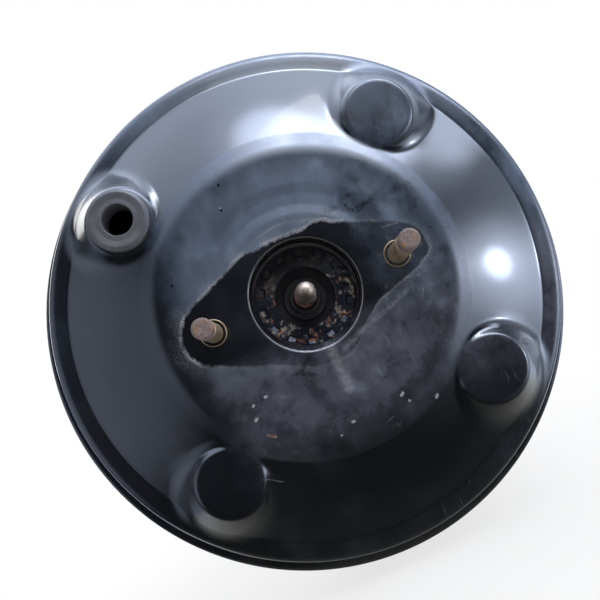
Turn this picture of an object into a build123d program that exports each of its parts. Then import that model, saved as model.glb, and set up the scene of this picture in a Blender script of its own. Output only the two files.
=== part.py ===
from build123d import *
from math import atan2, cos, degrees, hypot, radians, sin, sqrt, tan
import os

# Vacuum brake booster, single diaphragm, millimetres.
# The booster's axis is Y. The bulkhead face is the plane Y = 0, the master cylinder bolts to the
# face at Y = -mounting_depth, and its two studs lie along X. +Z is up in the vehicle.
# A station is a distance along Y, and a profile is drawn as (radius, station) and revolved about Y.

# ---------------------------------------------------------------- driving dimensions
mounting_depth = 100.0          # bulkhead face to master-cylinder face
shell_sheet = 1.8               # steel of both shells
fit_gap = 0.05                  # radial gap of a running or pushed fit
stud_hole_gap = 0.1             # radial gap of a stud body in a shell's hole
key_slot_gap = 0.2              # gap round the stop key in the valve body
key_fork_gap = 0.3              # gap of the key's fork round the plunger's neck
soft_gap = 0.3                  # room left round rubber, foam and springs
surface_tolerance = 0.05        # how near a surface counts as on it

# front shell
hem_radius = 126.5              # outside of the rolled hem
hem_depth = 50.0                # master-cylinder face to the front of the hem
hem_width = 9.0
hem_lap = 4.6                   # how far the hem is folded in behind the rear shell
flat_radius = 60.0              # flat middle of the dome
crease_radius = 104.5           # foot of the dome's cone
crease_depth = 23.0
ledge_radius = 113.4            # outer edge of the narrow ledge round the cone
ledge_depth = 25.0
skirt_foot_radius = 116.4
spigot_radius = 22.3            # opening that takes the master cylinder's spigot
spigot_length = 10.0
seal_bore_radius = 20.6
neck_length = 30.0              # whole drawn neck behind the master-cylinder face
neck_lip_width = 5.2            # end of the neck turned in behind the seal
neck_lip_radius = seal_bore_radius - neck_lip_width
bead_inner_radius = 34.2        # shallow ring pressed round the opening
bead_outer_radius = 43.4
bead_depth = 1.2
boss_pitch_radius = 81.5        # four pressed bosses, 45 degrees off the stud line
boss_first_angle = 45.0
boss_face_depth = 4.4
boss_face_radius = 14.5
boss_foot_radius = 20.0
boss_foot_depth = 22.0
boss_shoulder = 4.5
boss_root_fillet = 3.0
grommet_boss = 1                # which boss, counted from the first, carries the grommet
grommet_hole_radius = 9.4

# rear shell
rear_flat_radius = 86.0         # flat ring that meets the bulkhead
rear_wall_radius = 113.0
rear_wall_station = -14.0
rear_flange_root_radius = 117.5
hub_tube_radius = 19.5          # valve body's tube, which the neck guides
rear_neck_room = 5.0            # between the tube and the inside of the neck, for the bush and the seal
rear_neck_radius = hub_tube_radius + rear_neck_room
rear_neck_length = 15.0
rear_neck_lip_gap = 1.1
rear_neck_lip_radius = hub_tube_radius + rear_neck_lip_gap

# studs
stud_radius = 3.95              # M8
stud_body_radius = 5.5
stud_head_radius = 7.5
stud_head_height = 3.0
stake_radius = 5.55             # staked rim round the stud, outside
stake_bore_radius = 5.1
stake_height = 1.4
stake_recess = 0.7
stud_groove_radius = 3.3
stud_groove_width = 1.4
stud_end_length = 5.8
stud_chamfer = 0.8
cylinder_stud_spacing = 80.0
cylinder_stud_projection = 27.5
bulkhead_stud_spacing_x = 80.0
bulkhead_stud_spacing_z = 70.0
bulkhead_stud_projection = 24.0
stud_plate_sheet = 2.5
front_plate_radius = 52.0
front_plate_bore = 26.5
rear_plate_radius = 64.0
rear_plate_bore = 30.0

# front seal and its retainer
retainer_station = -88.4        # front face of the pierced retainer
retainer_sheet = 0.8
retainer_width = 7.8
retainer_bore = seal_bore_radius - retainer_width
retainer_rim_rise = 1.0         # outer edge turned forward
window_count = 14
window_first_angle = -1.6
window_length = 2.7
window_rim = 0.9                # left between a window and the bore
window_inner_radius = seal_bore_radius - window_rim - window_length
window_width = 3.8
tongue_width = 3.0              # tongue lanced in each window, bent back to press on the seal
tongue_length = 2.4
tongue_sheet = 0.5
tongue_angle = 20.0
seal_wall = 5.0
seal_rim_radius = seal_bore_radius - seal_wall
seal_heel = 0.8
seal_web_station = -80.5
seal_web = 1.6
seal_nose_radius = 9.3
seal_nose_station = -82.6
seal_tip_radius = 6.7
seal_tip_station = -84.8
seal_tail_station = -77.6

# check-valve grommet
grommet_flange_radius = 12.9
grommet_flange_thickness = 4.0
grommet_bore_radius = 6.4
grommet_tail_radius = 11.6
grommet_tail_length = 4.0
grommet_mouth_chamfer = 0.6

# power piston
piston_sheet = 1.8
piston_hub_radius = 24.2        # bore of the support plate
piston_step_radius = 38.0
piston_inner_station = -17.0
piston_outer_station = -12.5
piston_rim_radius = 106.0
piston_rim_station = -31.0
hub_nose_radius = 12.6
hub_nose_station = -35.0
hub_barrel_radius = 24.0
hub_barrel_station = -28.5
hub_flange_radius = 34.0
hub_groove_radius = 25.5
hub_groove_front = -11.2
hub_groove_rear = -7.0
hub_lip_radius = 29.0
hub_lip_rear = -3.4
hub_tube_end = 48.0
hub_chamber_radius = 16.0
hub_chamber_front = -8.0
vacuum_seat_station = -5.6
vacuum_seat_inner = 11.6
vacuum_seat_outer = 13.2
plunger_front_bore = 5.0
plunger_rear_bore = 9.8
plunger_step_station = -15.0
vacuum_port_radius = 14.6
vacuum_port_width = 2.4
vacuum_port_sweep = 50.0

# output rod
reaction_disc_thickness = 4.0
rod_radius = 4.75
rod_head_radius = 12.4
rod_head_thickness = 3.2
rod_end_station = -94.0
rod_tip_projection = 10.6       # domed tip in front of the master-cylinder face
adjuster_thread_radius = 3.9
adjuster_tip_radius = 3.2
adjuster_dome = 2.2
adjuster_collar_depth = 12.0
rod_cap_sheet = 0.9
rod_cap_station = -39.6
rod_cap_skirt_station = -30.0

# return spring
return_wire = 3.6
return_spring_radius = 30.6
return_spring_turns = 6

# valve inside the hub
plunger_tip_station = -29.2
plunger_neck_radius = 3.6
plunger_neck_front = -22.5
plunger_neck_rear = -15.8
plunger_collar_radius = 8.9
plunger_seat_station = -5.0
ball_radius = 4.6
ball_station = -11.0
socket_mouth_radius = 4.1       # staked in behind the ball
input_rod_radius = 4.2
swing_room = 7.4                # bore left round the swinging input rod
key_station = -20.6
key_thickness = 2.4
key_width = 14.0
key_reach = 27.0
key_tail = 7.0
poppet_face_radius = 14.2
poppet_face_thickness = 3.0
poppet_sleeve_radius = 11.4
poppet_sleeve_wall = 1.5
poppet_bead_front = 9.0
poppet_bead_rear = 13.0
poppet_washer_thickness = 0.8
poppet_cup_sheet = 1.2
poppet_cup_bore = 6.6
poppet_wire = 1.2
poppet_spring_turns = 4
input_wire = 1.8
input_spring_front_radius = 12.6
input_spring_rear_radius = 8.6
input_spring_turns = 4
rod_collar_station = 27.5
rod_collar_radius = 10.2
rod_collar_thickness = 2.0
silencer_station = 32.0
silencer_thickness = 4.0
filter_thickness = 6.5
end_cap_thickness = 3.0
end_cap_window_count = 6

# neck fittings
neck_ring_station = 0.6
neck_ring_thickness = 1.2
neck_seal_length = 5.6
neck_seal_lip = 2.4
neck_bush_length = 5.0

# dust boot
boot_wall = 1.4
boot_front_station = 5.0
boot_folds = 5
boot_root_gap = 5.5             # between the folds' roots and the valve body's tube
boot_fold_height = 7.0
boot_root_radius = hub_tube_radius + boot_root_gap
boot_crest_radius = boot_root_radius + boot_fold_height
boot_cuff = 5.0

# input end
input_thread_radius = 4.9       # M10
input_thread_station = 62.0
input_rod_end = 97.0
lock_nut_across_flats = 16.0
lock_nut_thickness = 6.0
clevis_station = 82.0
clevis_width = 24.0
clevis_height = 20.0
clevis_gap = 11.0
clevis_socket_length = 16.0
clevis_slot_depth = 26.0
clevis_pin_radius = 5.0
clevis_pin_from_slot = 15.0

# ---------------------------------------------------------------- stations worked out from them
cylinder_face = -mounting_depth
front_shift = cylinder_face + 100.0
dome_slope = atan2(crease_depth, crease_radius - flat_radius)
ledge_slope = atan2(ledge_depth - crease_depth, ledge_radius - crease_radius)
half_sheet = shell_sheet / 2
hem_front = cylinder_face + hem_depth
hem_rear = hem_front + hem_width
hem_inside = hem_radius - shell_sheet
neck_rear = cylinder_face + neck_length
bead_floor = cylinder_face + bead_depth + shell_sheet
front_plate_rear = bead_floor + stud_plate_sheet
rear_inside = -shell_sheet
rear_plate_front = rear_inside - stud_plate_sheet


def across(station):
    """Plane across the axis at a station, facing forward, with +X right and +Z up."""
    return Plane.XZ.offset(-station)


def inset_corner(radius, station, slope_before, slope_after, inset):
    """A corner of the dome's outline, moved into the sheet by inset square to both its slopes."""
    middle = (slope_before + slope_after) / 2
    reach = inset / cos((slope_before - slope_after) / 2)
    return (radius - reach * sin(middle), station + reach * cos(middle))


def turns_about_axis(count, first_angle):
    """Places turned evenly about Y, the first one first_angle degrees from +X towards +Z."""
    return [Location((0, 0, 0), (0, -first_angle - 360.0 * turn / count, 0)) for turn in range(count)]


def polar_point(radius, angle):
    """Point in the plane across the axis, angle in degrees from +X towards +Z."""
    return (radius * cos(radians(angle)), radius * sin(radians(angle)))


# ---------------------------------------------------------------- front shell
# Deep-drawn steel sheet: neck, pressed ring, cone, ledge, skirt and rolled hem are one line of
# sheet, drawn as its middle line with its bends. Four bosses are pressed out of the cone.
neck_step_station = cylinder_face + spigot_length
neck_line = [
    (neck_lip_radius, neck_rear - half_sheet),
    (seal_bore_radius + half_sheet, neck_rear - half_sheet),
    (seal_bore_radius + half_sheet, neck_step_station),
    (spigot_radius + half_sheet, neck_step_station - 1.6),
    (spigot_radius + half_sheet, cylinder_face + half_sheet),
]
neck_bends = [1.4, 1.4, 1.4, 1.4]
bead_line = [
    (bead_inner_radius - bead_depth, cylinder_face + half_sheet),
    (bead_inner_radius + bead_depth, cylinder_face + half_sheet + bead_depth),
    (bead_outer_radius - bead_depth, cylinder_face + half_sheet + bead_depth),
    (bead_outer_radius + bead_depth, cylinder_face + half_sheet),
]
bead_bends = [2.0, 2.0, 2.0, 2.0]


def dome_line(inset):
    """The two corners of the dome's cone, a given distance inside its outer surface."""
    return [
        inset_corner(flat_radius, cylinder_face, 0.0, dome_slope, inset),
        inset_corner(crease_radius, cylinder_face + crease_depth, dome_slope, ledge_slope, inset),
    ]


dome_bend = 14.0
crease_bend = 3.0
rim_line = [
    (ledge_radius, cylinder_face + ledge_depth + half_sheet),
    (skirt_foot_radius, hem_front + half_sheet),
    (hem_radius - half_sheet, hem_front + half_sheet),
    (hem_radius - half_sheet, hem_rear - half_sheet),
    (hem_radius - hem_lap, hem_rear - half_sheet),
]
rim_bends = [4.0, 2.5, 1.4, 1.2]

with BuildPart() as dome_sheet:
    with BuildSketch(Plane.XY):
        with BuildLine():
            FilletPolyline(
                *neck_line,
                *bead_line,
                *dome_line(half_sheet),
                *rim_line,
                radius=neck_bends + bead_bends + [dome_bend, crease_bend] + rim_bends,
            )
        trace(line_width=shell_sheet)
    revolve(axis=Axis.Y)

with BuildPart() as dome_inside:
    with BuildSketch(Plane.XY):
        with BuildLine():
            inner_line = FilletPolyline(
                (0, cylinder_face + shell_sheet),
                *dome_line(shell_sheet),
                (ledge_radius, cylinder_face + ledge_depth + shell_sheet),
                radius=[dome_bend - half_sheet, crease_bend + half_sheet],
            )
            Polyline(inner_line @ 1, (ledge_radius, hem_front), (0, hem_front), inner_line @ 0)
        make_face()
    revolve(axis=Axis.Y)


def boss_form(inset):
    """One pressed boss as a solid about Y: flat face, rounded shoulder and flared wall."""
    face_station = cylinder_face + boss_face_depth + inset
    foot_station = cylinder_face + boss_foot_depth
    with BuildPart() as form:
        with BuildSketch(Plane.XY):
            with BuildLine():
                top = FilletPolyline(
                    (0, face_station),
                    (boss_face_radius - inset / 2, face_station),
                    (boss_foot_radius - inset, foot_station),
                    radius=boss_shoulder - inset,
                )
                Polyline(top @ 1, (0, foot_station), top @ 0)
            make_face()
        revolve(axis=Axis.Y)
    return form.part


boss_angles = [boss_first_angle + 90.0 * turn for turn in range(4)]
boss_centres = [polar_point(boss_pitch_radius, angle) for angle in boss_angles]
boss_places = [Location((x, 0, z)) for x, z in boss_centres]
grommet_centre = boss_centres[grommet_boss]

with BuildPart() as boss_walls:
    with Locations(*boss_places):
        add(boss_form(0.0))
    with Locations(*boss_places):
        add(boss_form(shell_sheet), mode=Mode.SUBTRACT)
    add(dome_inside.part, mode=Mode.SUBTRACT)


def round_a_boss(edge):
    """True for an edge that lies on the cone's outer surface along the foot of a boss."""
    for point in (edge @ share for share in (0.0, 0.25, 0.5, 0.75, 1.0)):
        radius = hypot(point.X, point.Z)
        cone_station = cylinder_face + (radius - flat_radius) * tan(dome_slope)
        from_boss = min(hypot(point.X - x, point.Z - z) for x, z in boss_centres)
        if not flat_radius < radius < crease_radius or from_boss > boss_foot_radius:
            return False
        if abs(point.Y - cone_station) > surface_tolerance:
            return False
    return True


with BuildPart() as front_shell:
    add(dome_sheet.part)
    with Locations(*boss_places):
        add(boss_form(0.0), mode=Mode.SUBTRACT)
    add(boss_walls.part)
    fillet(front_shell.edges().filter_by(round_a_boss), boss_root_fillet)
    with BuildSketch(across(cylinder_face)):
        with Locations((-cylinder_stud_spacing / 2, 0), (cylinder_stud_spacing / 2, 0)):
            Circle(stud_head_radius)
    extrude(amount=-(shell_sheet + bead_depth))
    with BuildSketch(across(cylinder_face)):
        with Locations((-cylinder_stud_spacing / 2, 0), (cylinder_stud_spacing / 2, 0)):
            Circle(stud_body_radius + stud_hole_gap)
        with Locations(grommet_centre):
            Circle(grommet_hole_radius)
    extrude(amount=-(boss_face_depth + 4 * shell_sheet), mode=Mode.SUBTRACT)
front_shell.part.label = "front_shell"

# ---------------------------------------------------------------- rear shell
# Drawn steel dish: flange clamped in the hem, wall, flat ring for the bulkhead, and a neck turned
# out to the rear that guides the valve body.
flange_station = hem_rear - shell_sheet - half_sheet
rear_line = [
    (hem_inside - 0.4, flange_station),
    (rear_flange_root_radius, flange_station),
    (rear_wall_radius, rear_wall_station),
    (rear_flat_radius, -half_sheet),
    (rear_neck_radius + half_sheet, -half_sheet),
    (rear_neck_radius + half_sheet, rear_neck_length - half_sheet),
    (rear_neck_lip_radius, rear_neck_length - half_sheet),
]
rear_bends = [2.0, 14.0, 16.0, 2.6, 1.2]
bulkhead_stud_points = [
    (x * bulkhead_stud_spacing_x / 2, z * bulkhead_stud_spacing_z / 2) for x in (-1, 1) for z in (-1, 1)
]

with BuildPart() as rear_shell:
    with BuildSketch(Plane.XY):
        with BuildLine():
            FilletPolyline(*rear_line, radius=rear_bends)
        trace(line_width=shell_sheet)
    revolve(axis=Axis.Y)
    with BuildSketch(across(0)):
        with Locations(*bulkhead_stud_points):
            Circle(stud_body_radius + stud_hole_gap)
    extrude(amount=shell_sheet, mode=Mode.SUBTRACT)
rear_shell.part.label = "rear_shell"


# ---------------------------------------------------------------- studs
def staked_stud(face, seat, projection):
    """One M8 stud about Y, pointing to +Y: head, body through the sheets, staked rim, shank, neck groove, end."""
    end = face + projection
    groove_end = end - stud_end_length
    groove_start = groove_end - stud_groove_width
    with BuildPart() as stud:
        with BuildSketch(Plane.XY):
            with BuildLine():
                Polyline(
                    (0, seat - stud_head_height),
                    (stud_head_radius, seat - stud_head_height),
                    (stud_head_radius, seat),
                    (stud_body_radius, seat),
                    (stud_body_radius, face),
                    (stake_radius, face + stake_height / 2),
                    (stake_radius - 0.1, face + stake_height),
                    (stake_bore_radius, face + stake_height),
                    (stake_bore_radius, face - stake_recess),
                    (stud_radius, face - stake_recess),
                    (stud_radius, groove_start),
                    (stud_groove_radius, groove_start),
                    (stud_groove_radius, groove_end),
                    (stud_radius, groove_end),
                    (stud_radius, end - stud_chamfer),
                    (stud_radius - stud_chamfer, end),
                    (0, end),
                    close=True,
                )
            make_face()
        revolve(axis=Axis.Y)
    return stud.part


rear_stud = staked_stud(0.0, rear_plate_front, bulkhead_stud_projection)
front_stud = staked_stud(mounting_depth, -front_plate_rear, cylinder_stud_projection).rotate(Axis.X, 180)

with BuildPart() as master_cylinder_studs:
    with Locations((-cylinder_stud_spacing / 2, 0, 0), (cylinder_stud_spacing / 2, 0, 0)):
        add(front_stud)
master_cylinder_studs.part.label = "master_cylinder_studs"

with BuildPart() as bulkhead_studs:
    with Locations(*[(x, 0, z) for x, z in bulkhead_stud_points]):
        add(rear_stud)
bulkhead_studs.part.label = "bulkhead_studs"

# ---------------------------------------------------------------- stud plates
# Pressed plates inside each shell that spread the studs' load.
with BuildPart() as front_stud_plate:
    with BuildSketch(across(bead_floor)):
        Circle(front_plate_radius)
        Circle(front_plate_bore, mode=Mode.SUBTRACT)
        with Locations((-cylinder_stud_spacing / 2, 0), (cylinder_stud_spacing / 2, 0)):
            Circle(stud_body_radius + fit_gap, mode=Mode.SUBTRACT)
    extrude(amount=-stud_plate_sheet)
    chamfer(front_stud_plate.faces().sort_by(Axis.Y)[-1].edges().sort_by(SortBy.LENGTH)[-1], 0.6)
front_stud_plate.part.label = "front_stud_plate"

with BuildPart() as rear_stud_plate:
    with BuildSketch(across(rear_inside)):
        Circle(rear_plate_radius)
        Circle(rear_plate_bore, mode=Mode.SUBTRACT)
        with Locations(*bulkhead_stud_points):
            Circle(stud_body_radius + fit_gap, mode=Mode.SUBTRACT)
    extrude(amount=stud_plate_sheet)
    chamfer(rear_stud_plate.faces().sort_by(Axis.Y)[0].edges().sort_by(SortBy.LENGTH)[-1], 0.6)
rear_stud_plate.part.label = "rear_stud_plate"

# ---------------------------------------------------------------- front seal and pierced retainer
# Rubber seal round the output rod, held in the neck by a spring-steel ring. The ring is pierced
# all round, and a tongue in each window is bent back into a groove of the seal's face.
seal_front = front_shift + retainer_station + retainer_sheet
seal_groove_depth = tongue_length * sin(radians(tongue_angle)) + soft_gap
seal_groove_outer = window_inner_radius + window_length + soft_gap
with BuildPart() as plate_seal:
    with BuildSketch(Plane.XY):
        with BuildLine():
            Polyline(
                (seal_rim_radius, seal_front),
                (window_inner_radius - soft_gap, seal_front),
                (window_inner_radius - soft_gap, seal_front + seal_groove_depth),
                (seal_groove_outer, seal_front + seal_groove_depth),
                (seal_groove_outer, seal_front),
                (seal_bore_radius - fit_gap, seal_front),
                (seal_bore_radius - fit_gap, neck_rear - shell_sheet - seal_heel),
                (seal_bore_radius - fit_gap - seal_heel, neck_rear - shell_sheet),
                (seal_rim_radius, neck_rear - shell_sheet),
                (seal_rim_radius, front_shift + seal_web_station + seal_web),
                (seal_nose_radius, front_shift + seal_web_station + seal_web),
                (seal_nose_radius, front_shift + seal_tail_station),
                (rod_radius + soft_gap, front_shift + seal_tail_station),
                (rod_radius + soft_gap, front_shift + seal_tip_station),
                (seal_tip_radius, front_shift + seal_tip_station),
                (seal_tip_radius, front_shift + seal_nose_station),
                (seal_nose_radius, front_shift + seal_nose_station),
                (seal_nose_radius, front_shift + seal_web_station),
                (seal_rim_radius, front_shift + seal_web_station),
                close=True,
            )
        make_face()
    revolve(axis=Axis.Y)
plate_seal.part.label = "plate_seal"

window_middle_radius = window_inner_radius + window_length / 2
window_outer_radius = window_inner_radius + window_length
retainer_front = seal_front - retainer_sheet
tongue_dip = tongue_length * sin(radians(tongue_angle))
tongue_free_radius = window_outer_radius - tongue_length * cos(radians(tongue_angle))
with BuildPart() as retainer_tongue:
    with BuildSketch(Plane.XY):
        with BuildLine():
            Polyline(
                (window_outer_radius + tongue_sheet, retainer_front),
                (window_outer_radius, retainer_front),
                (tongue_free_radius, retainer_front + tongue_dip),
                (tongue_free_radius, retainer_front + tongue_dip + tongue_sheet),
                (window_outer_radius, retainer_front + tongue_sheet),
                (window_outer_radius + tongue_sheet, retainer_front + tongue_sheet),
                close=True,
            )
        make_face()
    extrude(amount=tongue_width / 2, both=True)

with BuildPart() as seal_retainer:
    with BuildSketch(Plane.XY):
        with BuildLine():
            Polyline(
                (retainer_bore, seal_front),
                (retainer_bore, retainer_front),
                (seal_bore_radius - fit_gap - retainer_sheet, retainer_front),
                (seal_bore_radius - fit_gap - retainer_sheet, retainer_front - retainer_rim_rise),
                (seal_bore_radius - fit_gap, retainer_front - retainer_rim_rise),
                (seal_bore_radius - fit_gap, seal_front),
                close=True,
            )
        make_face()
    revolve(axis=Axis.Y)
    with BuildSketch(across(seal_front)):
        with PolarLocations(window_middle_radius, window_count, window_first_angle):
            Rectangle(window_length, window_width)
    extrude(amount=retainer_sheet, mode=Mode.SUBTRACT)
    with Locations(*turns_about_axis(window_count, window_first_angle)):
        add(retainer_tongue.part)
seal_retainer.part.label = "seal_retainer"

# ---------------------------------------------------------------- check-valve grommet
# Moulded rubber: outer flange, waist through the boss, inner flange, bore for the valve's barb.
grommet_face = cylinder_face + boss_face_depth
grommet_front = grommet_face - grommet_flange_thickness
grommet_rear = grommet_face + shell_sheet + grommet_tail_length
with BuildPart() as grommet_blank:
    with BuildSketch(Plane.XY):
        with BuildLine():
            Polyline(
                (grommet_bore_radius + grommet_mouth_chamfer, grommet_front),
                (grommet_flange_radius - 1.2, grommet_front),
                (grommet_flange_radius, grommet_front + 1.2),
                (grommet_flange_radius, grommet_face),
                (grommet_hole_radius - fit_gap, grommet_face),
                (grommet_hole_radius - fit_gap, grommet_face + shell_sheet),
                (grommet_tail_radius, grommet_face + shell_sheet),
                (grommet_tail_radius - 1.6, grommet_rear),
                (grommet_bore_radius, grommet_rear),
                (grommet_bore_radius, grommet_front + grommet_mouth_chamfer),
                close=True,
            )
        make_face()
    revolve(axis=Axis.Y)

with BuildPart() as vacuum_grommet:
    with Locations((grommet_centre[0], 0, grommet_centre[1])):
        add(grommet_blank.part)
vacuum_grommet.part.label = "vacuum_grommet"

# ---------------------------------------------------------------- power piston
# Support plate pressed from sheet, diaphragm behind it, and the moulded valve body they sit on.
piston_line = [
    (piston_hub_radius, piston_inner_station),
    (piston_step_radius, piston_inner_station),
    (piston_step_radius + 7.0, piston_outer_station),
    (piston_rim_radius - 14.0, piston_outer_station),
    (piston_rim_radius - 3.0, piston_outer_station - 8.0),
    (piston_rim_radius, piston_rim_station),
]
piston_bends = [3.0, 3.0, 8.0, 6.0]
with BuildPart() as diaphragm_plate:
    with BuildSketch(Plane.XY):
        with BuildLine():
            FilletPolyline(*piston_line, radius=piston_bends)
        trace(line_width=piston_sheet)
    revolve(axis=Axis.Y)
diaphragm_plate.part.label = "diaphragm_plate"

diaphragm_wall = 1.8
behind_plate = (piston_sheet + diaphragm_wall) / 2 + soft_gap
bead_radius = (hem_width - 3 * shell_sheet) / 2 - soft_gap
bead_station = hem_front + shell_sheet + soft_gap + bead_radius
bead_circle = hem_inside - bead_radius - soft_gap
diaphragm_line = [
    (hub_groove_radius + soft_gap + 1.2, (hub_groove_front + hub_groove_rear) / 2),
    (piston_rim_radius - 12.0, piston_outer_station + behind_plate),
    (piston_rim_radius + 0.5, piston_outer_station - 7.0 + behind_plate),
    (piston_rim_radius + behind_plate + 1.2, piston_rim_station - 3.0),
    (rear_flange_root_radius - 2.5, bead_station),
    (bead_circle, bead_station),
]
with BuildPart() as diaphragm:
    with BuildSketch(Plane.XY):
        with BuildLine():
            FilletPolyline(*diaphragm_line, radius=[10.0, 6.0, 8.0, 4.0])
        trace(line_width=diaphragm_wall)
        with Locations((bead_circle, bead_station)):
            Circle(bead_radius)
    revolve(axis=Axis.Y)
diaphragm.part.label = "diaphragm"

hub_flange_front = piston_inner_station + piston_sheet / 2
reaction_front = hub_nose_station
reaction_rear = hub_nose_station + reaction_disc_thickness
reaction_radius = 11.4
with BuildPart() as valve_body:
    with BuildSketch(Plane.XY):
        with BuildLine():
            Polyline(
                (plunger_front_bore + fit_gap, reaction_rear),
                (reaction_radius + fit_gap, reaction_rear),
                (reaction_radius + fit_gap, reaction_front),
                (hub_nose_radius, reaction_front),
                (hub_nose_radius, hub_barrel_station),
                (hub_barrel_radius, hub_barrel_station),
                (hub_barrel_radius, hub_flange_front),
                (hub_flange_radius, hub_flange_front),
                (hub_flange_radius, hub_groove_front),
                (hub_groove_radius, hub_groove_front),
                (hub_groove_radius, hub_groove_rear),
                (hub_lip_radius, hub_groove_rear),
                (hub_lip_radius, hub_lip_rear),
                (hub_tube_radius, hub_lip_rear),
                (hub_tube_radius, hub_tube_end),
                (hub_chamber_radius, hub_tube_end),
                (hub_chamber_radius, hub_chamber_front),
                (vacuum_seat_outer, hub_chamber_front),
                (vacuum_seat_outer, vacuum_seat_station),
                (vacuum_seat_inner, vacuum_seat_station),
                (vacuum_seat_inner, hub_chamber_front - 4.0),
                (plunger_rear_bore, hub_chamber_front - 4.0),
                (plunger_rear_bore, plunger_step_station),
                (plunger_front_bore + fit_gap, plunger_step_station),
                close=True,
            )
        make_face()
    revolve(axis=Axis.Y)
    with BuildSketch(across(key_station - key_thickness / 2 - key_slot_gap)):
        with Locations(((key_reach - key_tail) / 2, 0)):
            Rectangle(key_reach + key_tail + 2 * key_slot_gap, key_width + 2 * key_slot_gap)
    extrude(amount=-(key_thickness + 2 * key_slot_gap), mode=Mode.SUBTRACT)
    with BuildSketch(across(hub_chamber_front)):
        for side in (90.0, 270.0):
            port_start = side - vacuum_port_sweep / 2
            SlotArc(CenterArc((0, 0), vacuum_port_radius, port_start, vacuum_port_sweep), vacuum_port_width)
    extrude(amount=hub_chamber_front - hub_barrel_station + 1.0, mode=Mode.SUBTRACT)
valve_body.part.label = "valve_body"

with BuildPart() as reaction_disc:
    with BuildSketch(across(reaction_rear)):
        Circle(reaction_radius)
    extrude(amount=reaction_disc_thickness)
reaction_disc.part.label = "reaction_disc"

# ---------------------------------------------------------------- output rod
# Forged head on the reaction disc, plain shank through the front seal, and a screw with a domed
# tip in its drilled end that sets the length to the master cylinder.
rod_front = front_shift + rod_end_station
rod_tip = cylinder_face - rod_tip_projection
adjuster_end = rod_front + adjuster_collar_depth
head_front = reaction_front - rod_head_thickness
with BuildPart() as output_rod:
    with BuildSketch(Plane.XY):
        with BuildLine():
            Polyline(
                (0, reaction_front),
                (rod_head_radius, reaction_front),
                (rod_head_radius, head_front + 1.0),
                (rod_head_radius - 1.0, head_front),
                (rod_radius + 1.6, head_front),
                (rod_radius, head_front - 2.4),
                (rod_radius, rod_front + 0.5),
                (rod_radius - 0.5, rod_front),
                (adjuster_thread_radius + fit_gap, rod_front),
                (adjuster_thread_radius + fit_gap, adjuster_end),
                (0, adjuster_end + 1.6),
                close=True,
            )
        make_face()
    revolve(axis=Axis.Y)
output_rod.part.label = "output_rod"

with BuildPart() as rod_adjuster:
    with BuildSketch(Plane.XY):
        with BuildLine():
            dome = ThreePointArc(
                (0, rod_tip),
                (adjuster_tip_radius * 0.62, rod_tip + adjuster_dome * 0.22),
                (adjuster_tip_radius, rod_tip + adjuster_dome),
            )
            Polyline(
                dome @ 1,
                (adjuster_tip_radius, rod_tip + adjuster_dome + 1.4),
                (adjuster_thread_radius, rod_tip + adjuster_dome + 3.0),
                (adjuster_thread_radius, adjuster_end),
                (0, adjuster_end),
                dome @ 0,
            )
        make_face()
    revolve(axis=Axis.Y)
rod_adjuster.part.label = "rod_adjuster"

rod_cap_inner = hub_nose_radius + fit_gap
with BuildPart() as rod_cap:
    with BuildSketch(Plane.XY):
        with BuildLine():
            Polyline(
                (rod_radius + 2.2, rod_cap_station),
                (rod_cap_inner + rod_cap_sheet, rod_cap_station),
                (rod_cap_inner + rod_cap_sheet, rod_cap_skirt_station),
                (rod_cap_inner, rod_cap_skirt_station),
                (rod_cap_inner, rod_cap_station + rod_cap_sheet),
                (rod_radius + 2.2, rod_cap_station + rod_cap_sheet),
                close=True,
            )
        make_face()
    revolve(axis=Axis.Y)
    with BuildSketch(across(rod_cap_skirt_station)):
        with PolarLocations(rod_cap_inner, 6):
            Rectangle(4 * rod_cap_sheet, 3.0)
    extrude(amount=4.0, mode=Mode.SUBTRACT)
rod_cap.part.label = "rod_cap"


# ---------------------------------------------------------------- springs
def coil(start_radius, end_radius, start, end, wire, turns):
    """Round-wire coil about Y between two seats, its wire's middle half a wire and the soft gap inside them."""
    first = start + wire / 2 + soft_gap
    height = end - wire / 2 - soft_gap - first
    flare = degrees(atan2(end_radius - start_radius, height))
    with BuildPart() as spring:
        with BuildLine():
            path = Helix(
                pitch=height / turns,
                height=height,
                radius=start_radius,
                center=(0, first, 0),
                direction=(0, 1, 0),
                cone_angle=flare,
            )
        with BuildSketch(Plane(origin=path @ 0, z_dir=path % 0)):
            Circle(wire / 2)
        sweep(path=path, is_frenet=True)
    return spring.part


return_spring_seat = piston_inner_station - piston_sheet / 2
with BuildPart() as return_spring:
    add(
        coil(
            return_spring_radius,
            return_spring_radius,
            front_plate_rear,
            return_spring_seat,
            return_wire,
            return_spring_turns,
        )
    )
return_spring.part.label = "return_spring"

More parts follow.
